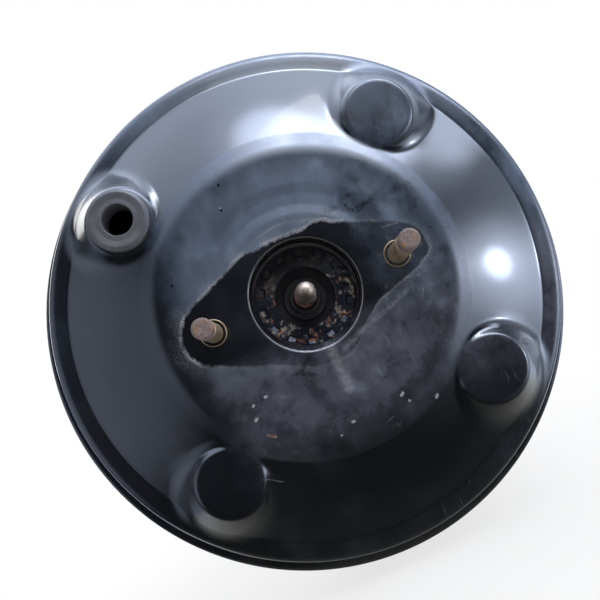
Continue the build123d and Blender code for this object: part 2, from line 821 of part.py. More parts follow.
# ---------------------------------------------------------------- valve plunger and stop key
# The plunger's socket closes in behind the input rod's ball, and the key's fork sits in its neck.
socket_radius = ball_radius + fit_gap
socket_mouth_station = ball_station + sqrt(socket_radius**2 - socket_mouth_radius**2)
with BuildPart() as valve_plunger:
    with BuildSketch(Plane.XY):
        with BuildLine():
            Polyline(
                (0, plunger_tip_station),
                (plunger_front_bore - 0.8, plunger_tip_station),
                (plunger_front_bore, plunger_tip_station + 0.8),
                (plunger_front_bore, plunger_neck_front),
                (plunger_neck_radius, plunger_neck_front),
                (plunger_neck_radius, plunger_neck_rear),
                (plunger_front_bore, plunger_neck_rear),
                (plunger_front_bore, plunger_step_station + 2.2),
                (plunger_collar_radius, plunger_step_station + 3.4),
                (plunger_collar_radius, plunger_seat_station),
                (plunger_collar_radius - 1.4, plunger_seat_station),
                (socket_mouth_radius + 1.2, plunger_seat_station - 1.4),
                (socket_mouth_radius, socket_mouth_station),
            )
            ThreePointArc(
                (socket_mouth_radius, socket_mouth_station),
                (socket_radius, ball_station),
                (0, ball_station - socket_radius),
            )
            Line((0, ball_station - socket_radius), (0, plunger_tip_station))
        make_face()
    revolve(axis=Axis.Y)
valve_plunger.part.label = "valve_plunger"

with BuildPart() as stop_key:
    with BuildSketch(across(key_station - key_thickness / 2)):
        with Locations(((key_reach - key_tail) / 2, 0)):
            RectangleRounded(key_reach + key_tail, key_width, 1.5)
        with Locations((0, 0)):
            Circle(plunger_neck_radius + key_fork_gap, mode=Mode.SUBTRACT)
        with Locations((-key_tail, 0)):
            Rectangle(2 * key_tail, 2 * (plunger_neck_radius + key_fork_gap), mode=Mode.SUBTRACT)
    extrude(amount=-key_thickness)
stop_key.part.label = "stop_key"

# ---------------------------------------------------------------- poppet, its washer, cup and spring
poppet_front = plunger_seat_station + soft_gap
washer_front = poppet_front + poppet_face_thickness
with BuildPart() as poppet_valve:
    with BuildSketch(Plane.XY):
        with BuildLine():
            Polyline(
                (swing_room - 0.8, poppet_front),
                (poppet_face_radius, poppet_front),
                (poppet_face_radius, washer_front - 1.0),
                (poppet_sleeve_radius, washer_front),
                (poppet_sleeve_radius, poppet_bead_front),
                (hub_chamber_radius - soft_gap, poppet_bead_front),
                (hub_chamber_radius - soft_gap, poppet_bead_rear),
                (poppet_sleeve_radius - poppet_sleeve_wall, poppet_bead_rear),
                (poppet_sleeve_radius - poppet_sleeve_wall, washer_front),
                (swing_room - 0.8, washer_front),
                close=True,
            )
        make_face()
    revolve(axis=Axis.Y)
poppet_valve.part.label = "poppet_valve"

with BuildPart() as poppet_washer:
    with BuildSketch(across(washer_front)):
        Circle(poppet_sleeve_radius - poppet_sleeve_wall - soft_gap)
        Circle(swing_room - 0.6, mode=Mode.SUBTRACT)
    extrude(amount=-poppet_washer_thickness)
poppet_washer.part.label = "poppet_washer"

cup_rear = poppet_bead_rear + poppet_cup_sheet
with BuildPart() as poppet_cup:
    with BuildSketch(Plane.XY):
        with BuildLine():
            Polyline(
                (poppet_cup_bore, poppet_bead_rear),
                (hub_chamber_radius - fit_gap, poppet_bead_rear),
                (hub_chamber_radius - fit_gap, cup_rear + 2.4),
                (hub_chamber_radius - fit_gap - poppet_cup_sheet, cup_rear + 2.4),
                (hub_chamber_radius - fit_gap - poppet_cup_sheet, cup_rear),
                (poppet_cup_bore, cup_rear),
                close=True,
            )
        make_face()
    revolve(axis=Axis.Y)
poppet_cup.part.label = "poppet_cup"

poppet_spring_radius = (swing_room + poppet_sleeve_radius - poppet_sleeve_wall) / 2
with BuildPart() as poppet_spring:
    add(
        coil(
            poppet_spring_radius,
            poppet_spring_radius,
            washer_front + poppet_washer_thickness,
            poppet_bead_rear,
            poppet_wire,
            poppet_spring_turns,
        )
    )
poppet_spring.part.label = "poppet_spring"

with BuildPart() as input_return_spring:
    add(
        coil(
            input_spring_front_radius,
            input_spring_rear_radius,
            cup_rear,
            rod_collar_station,
            input_wire,
            input_spring_turns,
        )
    )
input_return_spring.part.label = "input_return_spring"

# ---------------------------------------------------------------- input rod
# Ball end held in the plunger, shank, spring collar, and a threaded end for the clevis.
ball_neck = sqrt(ball_radius**2 - input_rod_radius**2 * 0.64)
with BuildPart() as input_rod:
    with BuildSketch(Plane.XY):
        with BuildLine():
            ball = ThreePointArc(
                (0, ball_station - ball_radius),
                (ball_radius, ball_station),
                (input_rod_radius * 0.8, ball_station + ball_neck),
            )
            Polyline(
                ball @ 1,
                (input_rod_radius * 0.8, plunger_seat_station),
                (input_rod_radius, plunger_seat_station + 2.0),
                (input_rod_radius, rod_collar_station),
                (rod_collar_radius, rod_collar_station),
                (rod_collar_radius, rod_collar_station + rod_collar_thickness),
                (input_rod_radius, rod_collar_station + rod_collar_thickness),
                (input_rod_radius, input_thread_station),
                (input_thread_radius, input_thread_station + 0.7),
                (input_thread_radius, input_rod_end - 1.0),
                (input_thread_radius - 1.0, input_rod_end),
                (0, input_rod_end),
                ball @ 0,
            )
        make_face()
    revolve(axis=Axis.Y)
input_rod.part.label = "input_rod"

# ---------------------------------------------------------------- silencer, filter and end cap
filter_station = silencer_station + silencer_thickness
cap_station = filter_station + filter_thickness
foam_radius = hub_chamber_radius - soft_gap
with BuildPart() as air_silencer:
    with BuildSketch(across(silencer_station)):
        Circle(foam_radius)
        Circle(swing_room, mode=Mode.SUBTRACT)
    extrude(amount=-silencer_thickness)
air_silencer.part.label = "air_silencer"

with BuildPart() as air_filter:
    with BuildSketch(across(filter_station)):
        Circle(foam_radius)
        Circle(swing_room, mode=Mode.SUBTRACT)
    extrude(amount=-filter_thickness)
air_filter.part.label = "air_filter"

with BuildPart() as filter_cap:
    with BuildSketch(across(cap_station + soft_gap)):
        Circle(hub_chamber_radius - fit_gap)
        Circle(swing_room, mode=Mode.SUBTRACT)
        with PolarLocations(0, end_cap_window_count):
            SlotArc(CenterArc((0, 0), (swing_room + hub_chamber_radius) / 2, -18.0, 36.0), 3.6, mode=Mode.SUBTRACT)
    extrude(amount=-end_cap_thickness)
filter_cap.part.label = "filter_cap"

# ---------------------------------------------------------------- neck ring, seal and guide bush
neck_seal_station = neck_ring_station + neck_ring_thickness
neck_seal_end = neck_seal_station + soft_gap + neck_seal_length
bush_rear = rear_neck_length - shell_sheet
bush_front = bush_rear - neck_bush_length
neck_fit = rear_neck_radius - fit_gap
with BuildPart() as neck_ring:
    with BuildSketch(across(neck_ring_station)):
        Circle(neck_fit)
        Circle(hub_tube_radius + 1.2, mode=Mode.SUBTRACT)
    extrude(amount=-neck_ring_thickness)
neck_ring.part.label = "neck_ring"

with BuildPart() as neck_seal:
    with BuildSketch(Plane.XY):
        with BuildLine():
            Polyline(
                (hub_tube_radius + neck_seal_lip, neck_seal_station + soft_gap),
                (neck_fit, neck_seal_station + soft_gap),
                (neck_fit, neck_seal_end),
                (hub_tube_radius + neck_seal_lip, neck_seal_end),
                (hub_tube_radius + neck_seal_lip, neck_seal_end - 1.6),
                (hub_tube_radius + soft_gap, neck_seal_end - 3.6),
                (hub_tube_radius + soft_gap, neck_seal_end - 4.6),
                (hub_tube_radius + neck_seal_lip, neck_seal_end - 3.4),
                close=True,
            )
        make_face()
    revolve(axis=Axis.Y)
neck_seal.part.label = "neck_seal"

with BuildPart() as neck_bush:
    with BuildSketch(Plane.XY):
        with BuildLine():
            Polyline(
                (hub_tube_radius + fit_gap, bush_front + 0.6),
                (hub_tube_radius + fit_gap + 0.6, bush_front),
                (neck_fit, bush_front),
                (neck_fit, bush_rear - 0.8),
                (neck_fit - 0.8, bush_rear),
                (hub_tube_radius + fit_gap, bush_rear),
                close=True,
            )
        make_face()
    revolve(axis=Axis.Y)
neck_bush.part.label = "neck_bush"

# ---------------------------------------------------------------- dust boot
# Moulded bellows from the neck to the end of the valve body's tube, drawn as its middle line.
boot_front_radius = rear_neck_radius + shell_sheet + soft_gap + boot_wall / 2
boot_rear_radius = hub_tube_radius + soft_gap + boot_wall / 2
boot_fold_start = boot_front_station + boot_cuff + 1.0
boot_fold_end = hub_tube_end - boot_cuff - 1.0
boot_pitch = (boot_fold_end - boot_fold_start) / boot_folds
boot_line = [(boot_front_radius, boot_front_station), (boot_front_radius, boot_fold_start)]
for fold in range(boot_folds):
    crest_shrink = fold * 0.9
    boot_line.append((boot_crest_radius - crest_shrink, boot_fold_start + (fold + 0.5) * boot_pitch))
    boot_line.append((boot_root_radius - crest_shrink, boot_fold_start + (fold + 1.0) * boot_pitch))
boot_line[-1] = (boot_rear_radius, boot_fold_end)
boot_line.append((boot_rear_radius, hub_tube_end))
with BuildPart() as dust_boot:
    with BuildSketch(Plane.XY):
        with BuildLine():
            FilletPolyline(*boot_line, radius=1.1)
        trace(line_width=boot_wall)
    revolve(axis=Axis.Y)
dust_boot.part.label = "dust_boot"

# ---------------------------------------------------------------- lock nut and clevis
lock_nut_station = clevis_station - lock_nut_thickness
with BuildPart() as lock_nut:
    with BuildSketch(across(lock_nut_station)):
        RegularPolygon(lock_nut_across_flats / 2, 6, major_radius=False)
        Circle(input_thread_radius + fit_gap, mode=Mode.SUBTRACT)
    extrude(amount=-lock_nut_thickness)
    with BuildSketch(Plane.XY):
        with BuildLine():
            Polyline(
                (lock_nut_across_flats, lock_nut_station),
                (lock_nut_across_flats, lock_nut_station + 5.0),
                (lock_nut_across_flats / 2, lock_nut_station),
                close=True,
            )
        make_face()
    revolve(axis=Axis.Y, mode=Mode.SUBTRACT)
lock_nut.part.label = "lock_nut"

clevis_slot = clevis_station + clevis_socket_length
clevis_end = clevis_slot + clevis_slot_depth
pin_station = clevis_slot + clevis_pin_from_slot
with BuildPart() as clevis:
    with BuildSketch(across(clevis_station)):
        RectangleRounded(clevis_width, clevis_height, 3.0)
    extrude(amount=-(clevis_end - clevis_station))
    with BuildSketch(Plane.YZ):
        with Locations((pin_station, 0)):
            Circle(clevis_height / 2)
        with Locations(((clevis_station + pin_station) / 2, 0)):
            Rectangle(pin_station - clevis_station, clevis_height)
    extrude(amount=clevis_width / 2, both=True, mode=Mode.INTERSECT)
    with BuildSketch(Plane.YZ):
        with Locations((clevis_slot + clevis_slot_depth / 2, 0)):
            Rectangle(clevis_slot_depth, 2 * clevis_height)
    extrude(amount=clevis_gap / 2, both=True, mode=Mode.SUBTRACT)
    with BuildSketch(Plane.YZ):
        with Locations((pin_station, 0)):
            Circle(clevis_pin_radius)
    extrude(amount=clevis_width, both=True, mode=Mode.SUBTRACT)
    with BuildSketch(across(clevis_station)):
        Circle(input_thread_radius + fit_gap)
    extrude(amount=-clevis_socket_length, mode=Mode.SUBTRACT)
clevis.part.label = "clevis"

# ---------------------------------------------------------------- files
pieces = [
    front_shell,
    rear_shell,
    master_cylinder_studs,
    bulkhead_studs,
    front_stud_plate,
    rear_stud_plate,
    plate_seal,
    seal_retainer,
    vacuum_grommet,
    diaphragm_plate,
    diaphragm,
    valve_body,
    reaction_disc,
    output_rod,
    rod_adjuster,
    rod_cap,
    return_spring,
    valve_plunger,
    stop_key,
    poppet_valve,
    poppet_washer,
    poppet_cup,
    poppet_spring,
    input_return_spring,
    input_rod,
    air_silencer,
    air_filter,
    filter_cap,
    neck_ring,
    neck_seal,
    neck_bush,
    dust_boot,
    lock_nut,
    clevis,
]
os.makedirs("parts", exist_ok=True)
for piece in pieces:
    export_step(piece.part, f"parts/{piece.part.label}.step")
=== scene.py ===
import math

import bpy
import numpy as np
from mathutils import Matrix, Vector


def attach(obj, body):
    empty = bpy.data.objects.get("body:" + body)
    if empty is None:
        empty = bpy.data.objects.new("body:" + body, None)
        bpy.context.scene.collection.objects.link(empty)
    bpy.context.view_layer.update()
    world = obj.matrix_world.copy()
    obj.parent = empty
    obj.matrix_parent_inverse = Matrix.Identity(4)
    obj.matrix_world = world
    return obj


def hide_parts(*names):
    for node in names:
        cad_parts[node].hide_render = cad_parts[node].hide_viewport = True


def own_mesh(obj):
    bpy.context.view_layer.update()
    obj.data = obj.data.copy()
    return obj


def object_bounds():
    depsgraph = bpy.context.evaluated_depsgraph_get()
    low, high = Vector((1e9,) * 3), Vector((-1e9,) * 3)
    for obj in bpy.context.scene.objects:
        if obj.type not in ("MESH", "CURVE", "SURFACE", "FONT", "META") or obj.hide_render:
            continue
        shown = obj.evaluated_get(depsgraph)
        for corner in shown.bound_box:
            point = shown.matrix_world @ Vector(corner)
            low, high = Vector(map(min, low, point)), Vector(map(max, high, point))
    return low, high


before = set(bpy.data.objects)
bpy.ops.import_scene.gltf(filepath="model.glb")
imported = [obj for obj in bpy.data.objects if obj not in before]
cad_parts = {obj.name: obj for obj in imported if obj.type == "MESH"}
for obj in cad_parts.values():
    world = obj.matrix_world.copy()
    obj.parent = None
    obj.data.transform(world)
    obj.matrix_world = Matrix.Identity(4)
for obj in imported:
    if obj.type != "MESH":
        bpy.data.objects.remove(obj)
cad_low, cad_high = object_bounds()
scene = bpy.context.scene
scene.view_settings.view_transform = "Standard"

# ------------------------------------------------------------------ studio
# The booster stands on its hem on a pale floor, lit by three soft lamps and an even sky. Its gloss and
# bare metal mirror a dark room with a cool window overhead, a dim wall and a round lamp to the right.


class Finish:
    """One surface finish: a Principled shader and the few node recipes that feed it."""

    def __init__(self, name, world=False):
        self.owner = bpy.data.worlds.new(name) if world else bpy.data.materials.new(name)
        self.owner.use_nodes = True
        self.nodes = self.owner.node_tree.nodes
        self.links = self.owner.node_tree.links
        self.nodes.clear()
        self.place = None
        if not world:
            self.shader = self.add("BsdfPrincipled")
            self.output = self.add("OutputMaterial")
            self.links.new(self.shader.outputs[0], self.output.inputs["Surface"])

    def add(self, kind, inputs=(), **settings):
        """A shader node with its settings and inputs, each a number, a colour or another node's socket."""
        node = self.nodes.new("ShaderNode" + kind)
        for key, value in settings.items():
            setattr(node, key, value)
        for key, value in dict(inputs).items():
            self.feed(node.inputs[key], value)
        return node

    def feed(self, socket, value):
        if isinstance(value, bpy.types.NodeSocket):
            self.links.new(value, socket)
        elif hasattr(value, "__len__") and len(value) == 3 and socket.type == "RGBA":
            socket.default_value = (*value, 1.0)
        else:
            socket.default_value = value

    def at(self, scale=(1.0, 1.0, 1.0), turn=(0.0, 0.0, 0.0), move=(0.0, 0.0, 0.0)):
        """Object coordinates in millimetres, stretched, turned and moved."""
        if self.place is None:
            self.place = self.add("TexCoord").outputs["Object"]
        stretch = [1000.0 * part for part in scale]
        return self.add(
            "Mapping",
            {"Vector": self.place, "Location": move, "Rotation": turn, "Scale": stretch},
        ).outputs[0]

    def grain(self, scale, detail=4.0, rough=0.55, where=None, distort=0.0):
        """Noise from 0 to 1, scale in cycles per millimetre."""
        return self.add(
            "TexNoise",
            {
                "Vector": where or self.at(),
                "Scale": scale,
                "Detail": detail,
                "Roughness": rough,
                "Distortion": distort,
            },
        ).outputs["Fac"]

    def fold(self, how, *values, clamp=False):
        """Math node; further values fold in one after the other."""
        total = values[0]
        for value in values[1:]:
            total = self.add("Math", {0: total, 1: value}, operation=how, use_clamp=clamp).outputs[0]
        return total

    def plus(self, *values, clamp=False):
        return self.fold("ADD", *values, clamp=clamp)

    def less(self, *values, clamp=False):
        return self.fold("SUBTRACT", *values, clamp=clamp)

    def times(self, *values):
        return self.fold("MULTIPLY", *values)

    def most(self, *values):
        return self.fold("MAXIMUM", *values)

    def only(self, how, value):
        return self.add("Math", {0: value}, operation=how).outputs[0]

    def length(self, one, two):
        """Root of the sum of two squares."""
        return self.only("SQRT", self.plus(self.times(one, one), self.times(two, two)))

    def sway(self, noise, reach):
        """Noise of 0 to 1 as an offset to both sides, reach from end to end."""
        return self.times(self.less(noise, 0.5), reach)

    def axes(self):
        """The three object coordinates, in millimetres."""
        return self.add("SeparateXYZ", {0: self.at()}).outputs

    def light(self, kind, colour, strength):
        """An emission or a background."""
        return self.add(kind, {"Color": colour, "Strength": strength}).outputs[0]

    def either(self, share, first, second):
        """Two shaders mixed by a share."""
        return self.add("MixShader", {0: share, 1: first, 2: second}).outputs[0]

    def step(self, value, low, high, out_low=0.0, out_high=1.0):
        """Smooth step of a value from low to high."""
        return self.add(
            "MapRange",
            {"Value": value, "From Min": low, "From Max": high, "To Min": out_low, "To Max": out_high},
            interpolation_type="SMOOTHSTEP",
        ).outputs[0]

    def blend(self, share, first, second, how="MIX"):
        """Two colours mixed by a share."""
        node = self.add("Mix", data_type="RGBA", blend_type=how)
        self.feed(node.inputs[0], share)
        self.feed(node.inputs[6], first)
        self.feed(node.inputs[7], second)
        return node.outputs[2]

    def bump(self, height, depth, strength=1.0):
        """Normal from a height of 0 to 1, depth in millimetres."""
        return self.add(
            "Bump", {"Height": height, "Distance": depth * 0.001, "Strength": strength}
        ).outputs[0]

    def set(self, **values):
        """Values or sockets for the shader, with underscores for the spaces in a socket's name."""
        for key, value in values.items():
            self.feed(self.shader.inputs[key.replace("_", " ")], value)
        return self.owner


focal_px, frame_px, rise_px = 575.0, 600.0, 35.0
camera_place = Vector((-0.0135, -0.3283, -0.0262))
camera_right = Vector((0.9165, 0.0014, -0.3999)).normalized()
camera_up = Vector((0.3994, -0.0557, 0.9151)).normalized()
camera_back = camera_right.cross(camera_up).normalized()
camera_up = camera_back.cross(camera_right)
lens = bpy.data.cameras.new("camera")
lens.sensor_width = 36.0
lens.lens = focal_px / frame_px * lens.sensor_width
lens.shift_y = rise_px / frame_px
lens.clip_start, lens.clip_end = 0.01, 20.0
camera = bpy.data.objects.new("camera", lens)
scene.collection.objects.link(camera)
turn = Matrix((camera_right, camera_up, camera_back)).transposed()
camera.matrix_world = Matrix.Translation(camera_place) @ turn.to_4x4()
scene.camera = camera

room = Finish("room", world=True)
scene.world = room.owner
look = room.add("TexCoord").outputs["Generated"]


def toward(direction, low, high):
    """Smooth 0 to 1 as a ray turns toward a direction: the cosine between them from low to high."""
    unit = Vector(direction).normalized()
    cosine = room.add("VectorMath", {0: look, 1: unit}, operation="DOT_PRODUCT")
    return room.step(cosine.outputs["Value"], low, high)


# Each patch of light: the way to it, the cosines at which it begins and is full, and its strength.
room_lights = (
    ((0.05, -0.05, 1.0), 0.58, 0.90, 2.5), ((0.40, -0.42, 0.81), 0.80, 0.965, 1.0),  # sky
    ((0.38, -0.43, 0.82), 0.970, 0.992, 9.5), ((0.21, -0.37, 0.905), 0.970, 0.992, 6.0),  # window
    ((0.66, -0.30, 0.69), 0.962, 0.992, 8.0),
    ((-0.97, -0.16, 0.18), 0.72, 0.96, 0.66), ((0.97, -0.20, 0.10), 0.86, 0.985, 0.9),  # walls
    ((0.80, -0.22, 0.56), 0.945, 0.992, 1.1), ((0.84, -0.08, 0.54), 0.968, 0.995, 3.4),
    ((0.25, 0.93, -0.15), 0.25, 0.85, 0.85), ((0.93, -0.26, -0.28), 0.88, 0.985, 1.9),
    ((0.70, -0.32, -0.62), 0.70, 0.95, 0.34),
    ((0.958, -0.25, -0.15), 0.958, 0.994, 2.0), ((0.96, -0.25, -0.12), 0.9950, 0.9990, 14.0),  # lamp
)
dark = 0.04
patches = [room.times(toward(way, begins, full), strength) for way, begins, full, strength in room_lights]
mirrored = room.plus(*patches, dark)
seen = room.add("LightPath")
cool = room.light("Background", (0.84, 0.97, 1.26), mirrored)
even = room.light("Background", (0.96, 0.98, 1.0), 0.55)
white = room.light("Background", (1.0, 1.0, 1.0), 1.0)
glossy = room.either(seen.outputs["Is Glossy Ray"], even, cool)
backed = room.either(seen.outputs["Is Camera Ray"], glossy, white)
room.links.new(backed, room.add("OutputWorld").inputs["Surface"])


def softbox(name, place, aim, size, watts, colour, shape="SQUARE"):
    """Area lamp at a place, facing a point; size in metres."""
    lamp = bpy.data.lights.new(name, "AREA")
    lamp.shape, lamp.size, lamp.energy, lamp.color = shape, size, watts, colour
    holder = bpy.data.objects.new(name, lamp)
    scene.collection.objects.link(holder)
    holder.location = place
    holder.rotation_euler = (Vector(aim) - Vector(place)).to_track_quat("-Z", "Y").to_euler()


softbox("window", (0.36, -0.62, 0.80), (0, -0.05, 0), 0.75, 6.0, (0.93, 0.97, 1.0))
softbox("lamp", (0.66, -0.25, -0.085), (0.078, -0.09, -0.018), 0.06, 0.12, (1.0, 0.98, 0.95), "DISK")
softbox("rear_fill", (-0.5, 0.9, 0.6), (0, 0, 0), 0.9, 5.0, (1.0, 0.99, 0.97))

floor_drop, floor_reach = 0.0004, 3.0
floor_low = cad_low.z - floor_drop
floor_corners = [
    (x * floor_reach, y * floor_reach, floor_low) for x, y in ((-1, -1), (1, -1), (1, 1), (-1, 1))
]
floor_mesh = bpy.data.meshes.new("floor")
floor_mesh.from_pydata(floor_corners, [], [(0, 1, 2, 3)])
floor = bpy.data.objects.new("floor", floor_mesh)
scene.collection.objects.link(floor)
pale = Finish("pale_floor")
pale.set(Base_Color=(0.86, 0.86, 0.86), Roughness=0.8)
spread = pale.add("VectorMath", {0: pale.at()}, operation="LENGTH").outputs["Value"]
white_floor = pale.light("Emission", (1.0, 1.0, 1.0), 1.0)
shaded = pale.step(pale.axes()[1], -110.0, 90.0, 0.05, 0.95)
dim_floor = pale.light("Emission", (0.97, 1.0, 0.96), shaded)
mirror_near, mirror_far = 165.0, 260.0
mirrored_share = pale.step(spread, mirror_near, mirror_far)
far_floor = pale.either(mirrored_share, dim_floor, pale.add("BsdfTransparent").outputs[0])
ray = pale.add("LightPath")
fade = pale.times(ray.outputs["Is Camera Ray"], pale.step(spread, 120.0, 330.0, 0.74))
near = pale.either(fade, pale.shader.outputs[0], white_floor)
pale.links.new(pale.either(ray.outputs["Is Glossy Ray"], near, far_floor), pale.output.inputs["Surface"])
floor_mesh.materials.append(pale.owner)

# ------------------------------------------------------------------ front shell
# Deep-drawn steel dish, 1.8 mm thick, sprayed gloss black after the hem is rolled. Its neck takes
# the master cylinder's spigot, and four bosses are pressed out of the cone.


def bent_line(corners, bends, spacing):
    """Line through corners with a circular bend at each inner one, its points about a spacing apart.

    A bend of radius b that turns the line by t starts b tan(t/2) before the corner; the arc's points
    turn evenly from the first leg's direction to the second's."""
    corners = np.asarray(corners, float)
    pieces = [corners[:1]]
    for before, corner, after, bend in zip(corners, corners[1:], corners[2:], bends):
        first, second = corner - before, after - corner
        first, second = first / np.linalg.norm(first), second / np.linalg.norm(second)
        swing = math.atan2(first[0] * second[1] - first[1] * second[0], first @ second)
        reach = bend * math.tan(abs(swing) / 2)
        start = corner - first * reach
        side = np.array([-first[1], first[0]]) * math.copysign(1.0, swing)
        step = min(max(1.1 / bend, 0.08), 0.24)
        angles = np.linspace(0.0, abs(swing), max(3, int(abs(swing) / step) + 2))[:, None]
        pieces.append(start + bend * (np.sin(angles) * first + (1 - np.cos(angles)) * side))
    pieces.append(corners[-1:])
    line = np.concatenate(pieces)
    gaps = np.linalg.norm(np.diff(line, axis=0), axis=1)
    line = line[np.concatenate([[True], gaps > 1e-6])]
    filled = [line[:1]]
    for start, end in zip(line, line[1:]):
        count = max(1, int(np.ceil(np.linalg.norm(end - start) / spacing)))
        shares = (np.arange(count) + 1.0)[:, None] / count
        filled.append(start + (end - start) * shares)
    return np.concatenate(filled)


def sheet_loop(line, thickness, inner_stride=1):
    """Closed outline of a sheet: its middle line moved out by half the thickness on each side.

    Each point moves square to the line there, along the mean of its neighbours' directions. The inner
    side keeps every point, or one in each stride."""
    along = np.gradient(line, axis=0)
    along /= np.linalg.norm(along, axis=1)[:, None]
    square = np.stack([along[:, 1], -along[:, 0]], axis=1) * thickness / 2
    inner = (line - square)[::-1]
    keep = np.unique(np.concatenate([np.arange(0, len(inner), inner_stride), [len(inner) - 1]]))
    return np.concatenate([line + square, inner[keep]])


def finished(name, points, faces, body, material, replaced=(), crease=40.0):
    """A piece from points in millimetres and faces, shaded smooth except across creases."""
    mesh = bpy.data.meshes.new(name)
    mesh.from_pydata((np.asarray(points, float) * 0.001).tolist(), [], faces)
    mesh.shade_smooth()
    mesh.set_sharp_from_angle(angle=math.radians(crease))
    mesh.materials.append(material)
    piece = bpy.data.objects.new(name, mesh)
    scene.collection.objects.link(piece)
    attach(piece, body)
    if replaced:
        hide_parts(*replaced)
    return piece


def turned_grid(outline, around):
    """Points of an outline (radius, station) turned about Y: x = r cos a, z = r sin a, for every a."""
    angles = np.arange(around) * 2 * math.pi / around if np.isscalar(around) else around
    radius, station = outline[:, 0][:, None], outline[:, 1][:, None]
    return np.stack([radius * np.cos(angles), station + 0 * angles, radius * np.sin(angles)], axis=2)


def grid_faces(rows, columns, closed):
    """Four-sided faces of a grid that wraps round its columns, and round its rows if closed."""
    row = np.arange(rows if closed else rows - 1)[:, None]
    column = np.arange(columns)[None, :]
    after, beside = (row + 1) % rows, (column + 1) % columns
    here, there = row * columns, after * columns
    corners = [here + column, here + beside, there + beside, there + column]
    return np.stack(np.broadcast_arrays(*corners), axis=2).reshape(-1, 4)


def turned_faces(outline, around):
    """Faces of a turned outline, outward. One that starts off the axis is a loop and closes on itself."""
    loop = outline[0, 0] > 1e-6
    radius, station = outline[:, 0], outline[:, 1]
    swept = np.sum((radius + np.roll(radius, -1)) * (np.roll(station, -1) - station))
    faces = grid_faces(len(outline), around, loop)
    if swept > 0:
        faces = faces[:, ::-1]
    return faces


def turned_piece(
    name, outline, body, material, replaced=(), centres=((0.0, 0.0),), around=128, crease=40.0,
    thread=None,
):
    """Solid of revolution about Y, or one at each of several centres (x, z), with a thread if it has one.

    An outline that starts on the axis ends on it too. Each of its ends becomes one point, so that the
    quads there become triangles."""
    outline = np.asarray(outline, float)
    points = turned_grid(outline, around)
    if thread:
        start, end, pitch, depth = thread
        radius = np.hypot(points[..., 0], points[..., 2])
        angle = np.arctan2(points[..., 2], points[..., 0])
        share = threaded(radius, points[..., 1], angle, start, end, pitch, depth) / np.maximum(radius, 1e-9)
        cut = (radius > 3.5) & (points[..., 1] > start) & (points[..., 1] < end)
        points[..., 0::2] *= np.where(cut, share, 1.0)[..., None]
    faces = turned_faces(outline, around).tolist()
    points = points.reshape(-1, 3)
    if outline[0, 0] <= 1e-6:
        last_ring = len(points) - around
        points = np.concatenate([points[:1], points[around:last_ring], points[last_ring:][:1]])
        joined = [[min(max(corner - around + 1, 0), len(points) - 1) for corner in face] for face in faces]
        faces = [corners for corners in (list(dict.fromkeys(face)) for face in joined) if len(corners) > 2]
    all_points = [points + np.array([x, 0.0, z]) for x, z in centres]
    all_faces = [
        [corner + place * len(points) for corner in face] for place in range(len(centres)) for face in faces
    ]
    return finished(name, np.concatenate(all_points), all_faces, body, material, replaced, crease)


face_station, bead_depth = -100.0, 0.65
sheet = 1.8
half = sheet / 2
neck_bore, opening_bore = 20.6 + half, 22.3 + half
hem_radius, hem_front, hem_rear = 126.5, -50.0, -41.0
flat_radius, crease_radius, crease_depth = 60.0, 104.5, 23.6
cone_slope = math.atan2(crease_depth, crease_radius - flat_radius)
ledge_radius, ledge_depth = 113.4, 24.5
ledge_slope = math.atan2(ledge_depth - crease_depth, ledge_radius - crease_radius)


def dome_corner(radius, depth, before, after):
    """A corner of the dome's outer line moved half a sheet inward, square to both its slopes."""
    middle, reach = (before + after) / 2, half / math.cos((before - after) / 2)
    return (radius - reach * math.sin(middle), face_station + depth + reach * math.cos(middle))


shell_corners = [
    (15.4, -70.0 - half),
    (neck_bore, -70.0 - half),
    (neck_bore, -90.0),
    (opening_bore, -91.6),
    (opening_bore, face_station + half),
    (32.4, face_station + half),
    (36.4, face_station + half + bead_depth),
    (41.2, face_station + half + bead_depth),
    (45.2, face_station + half),
    dome_corner(flat_radius, 0.0, 0.0, cone_slope),
    dome_corner(crease_radius, crease_depth, cone_slope, ledge_slope),
    (ledge_radius, face_station + ledge_depth + half),
    (116.4, hem_front + half),
    (hem_radius - half, hem_front + half),
    (hem_radius - half, hem_rear - half),
    (hem_radius - 4.6, hem_rear - half),
]
shell_bends = [1.4, 1.4, 1.4, 1.0, 7.0, 7.0, 7.0, 7.0, 15.0, 3.0, 4.0, 2.5, 1.4, 1.2]
shell_line = bent_line(shell_corners, shell_bends, 3.2)


def with_rows(line, low, high, spacing):
    """The line with more points where its radius lies between low and high."""
    filled = [line[:1]]
    for start, end in zip(line, line[1:]):
        between = low < (start[0] + end[0]) / 2 < high and abs(end[0] - start[0]) > 0.5
        count = max(1, round(abs(end[0] - start[0]) / spacing)) if between else 1
        filled.append(start + (end - start) * ((np.arange(count) + 1.0)[:, None] / count))
    return np.concatenate(filled)


fine_cone, fine_bead = (60.0, 105.0, 0.95), (31.0, 49.0, 1.1)
shell_line = with_rows(with_rows(shell_line, *fine_cone), *fine_bead)
crown, crown_start, crown_width = 0.8, 63.0, 40.0
across_crown = np.clip((shell_line[:, 0] - crown_start) / crown_width, 0.0, 1.0)
bulge = np.sin(across_crown * math.pi) * (shell_line[:, 1] < -70.0)
shell_line += np.outer(bulge * crown, (math.sin(cone_slope), -math.cos(cone_slope)))
shell_loop = sheet_loop(shell_line, sheet)
shell_rows = len(shell_line)
sectors = ((0, 12, 12), (12, 29.5, 7), (29.5, 60.5, 62), (60.5, 90, 13))  # degrees, and columns between
quarter = np.concatenate([np.linspace(low, high, count + 1)[:-1] for low, high, count in sectors])
half_turn = np.sort(np.unique(np.round(np.concatenate([quarter, [90.0], 180.0 - quarter[1:]]), 6)))
shell_angles = np.radians(np.concatenate([half_turn, half_turn + 180.0]))
outer_points = turned_grid(shell_loop[:shell_rows], shell_angles)
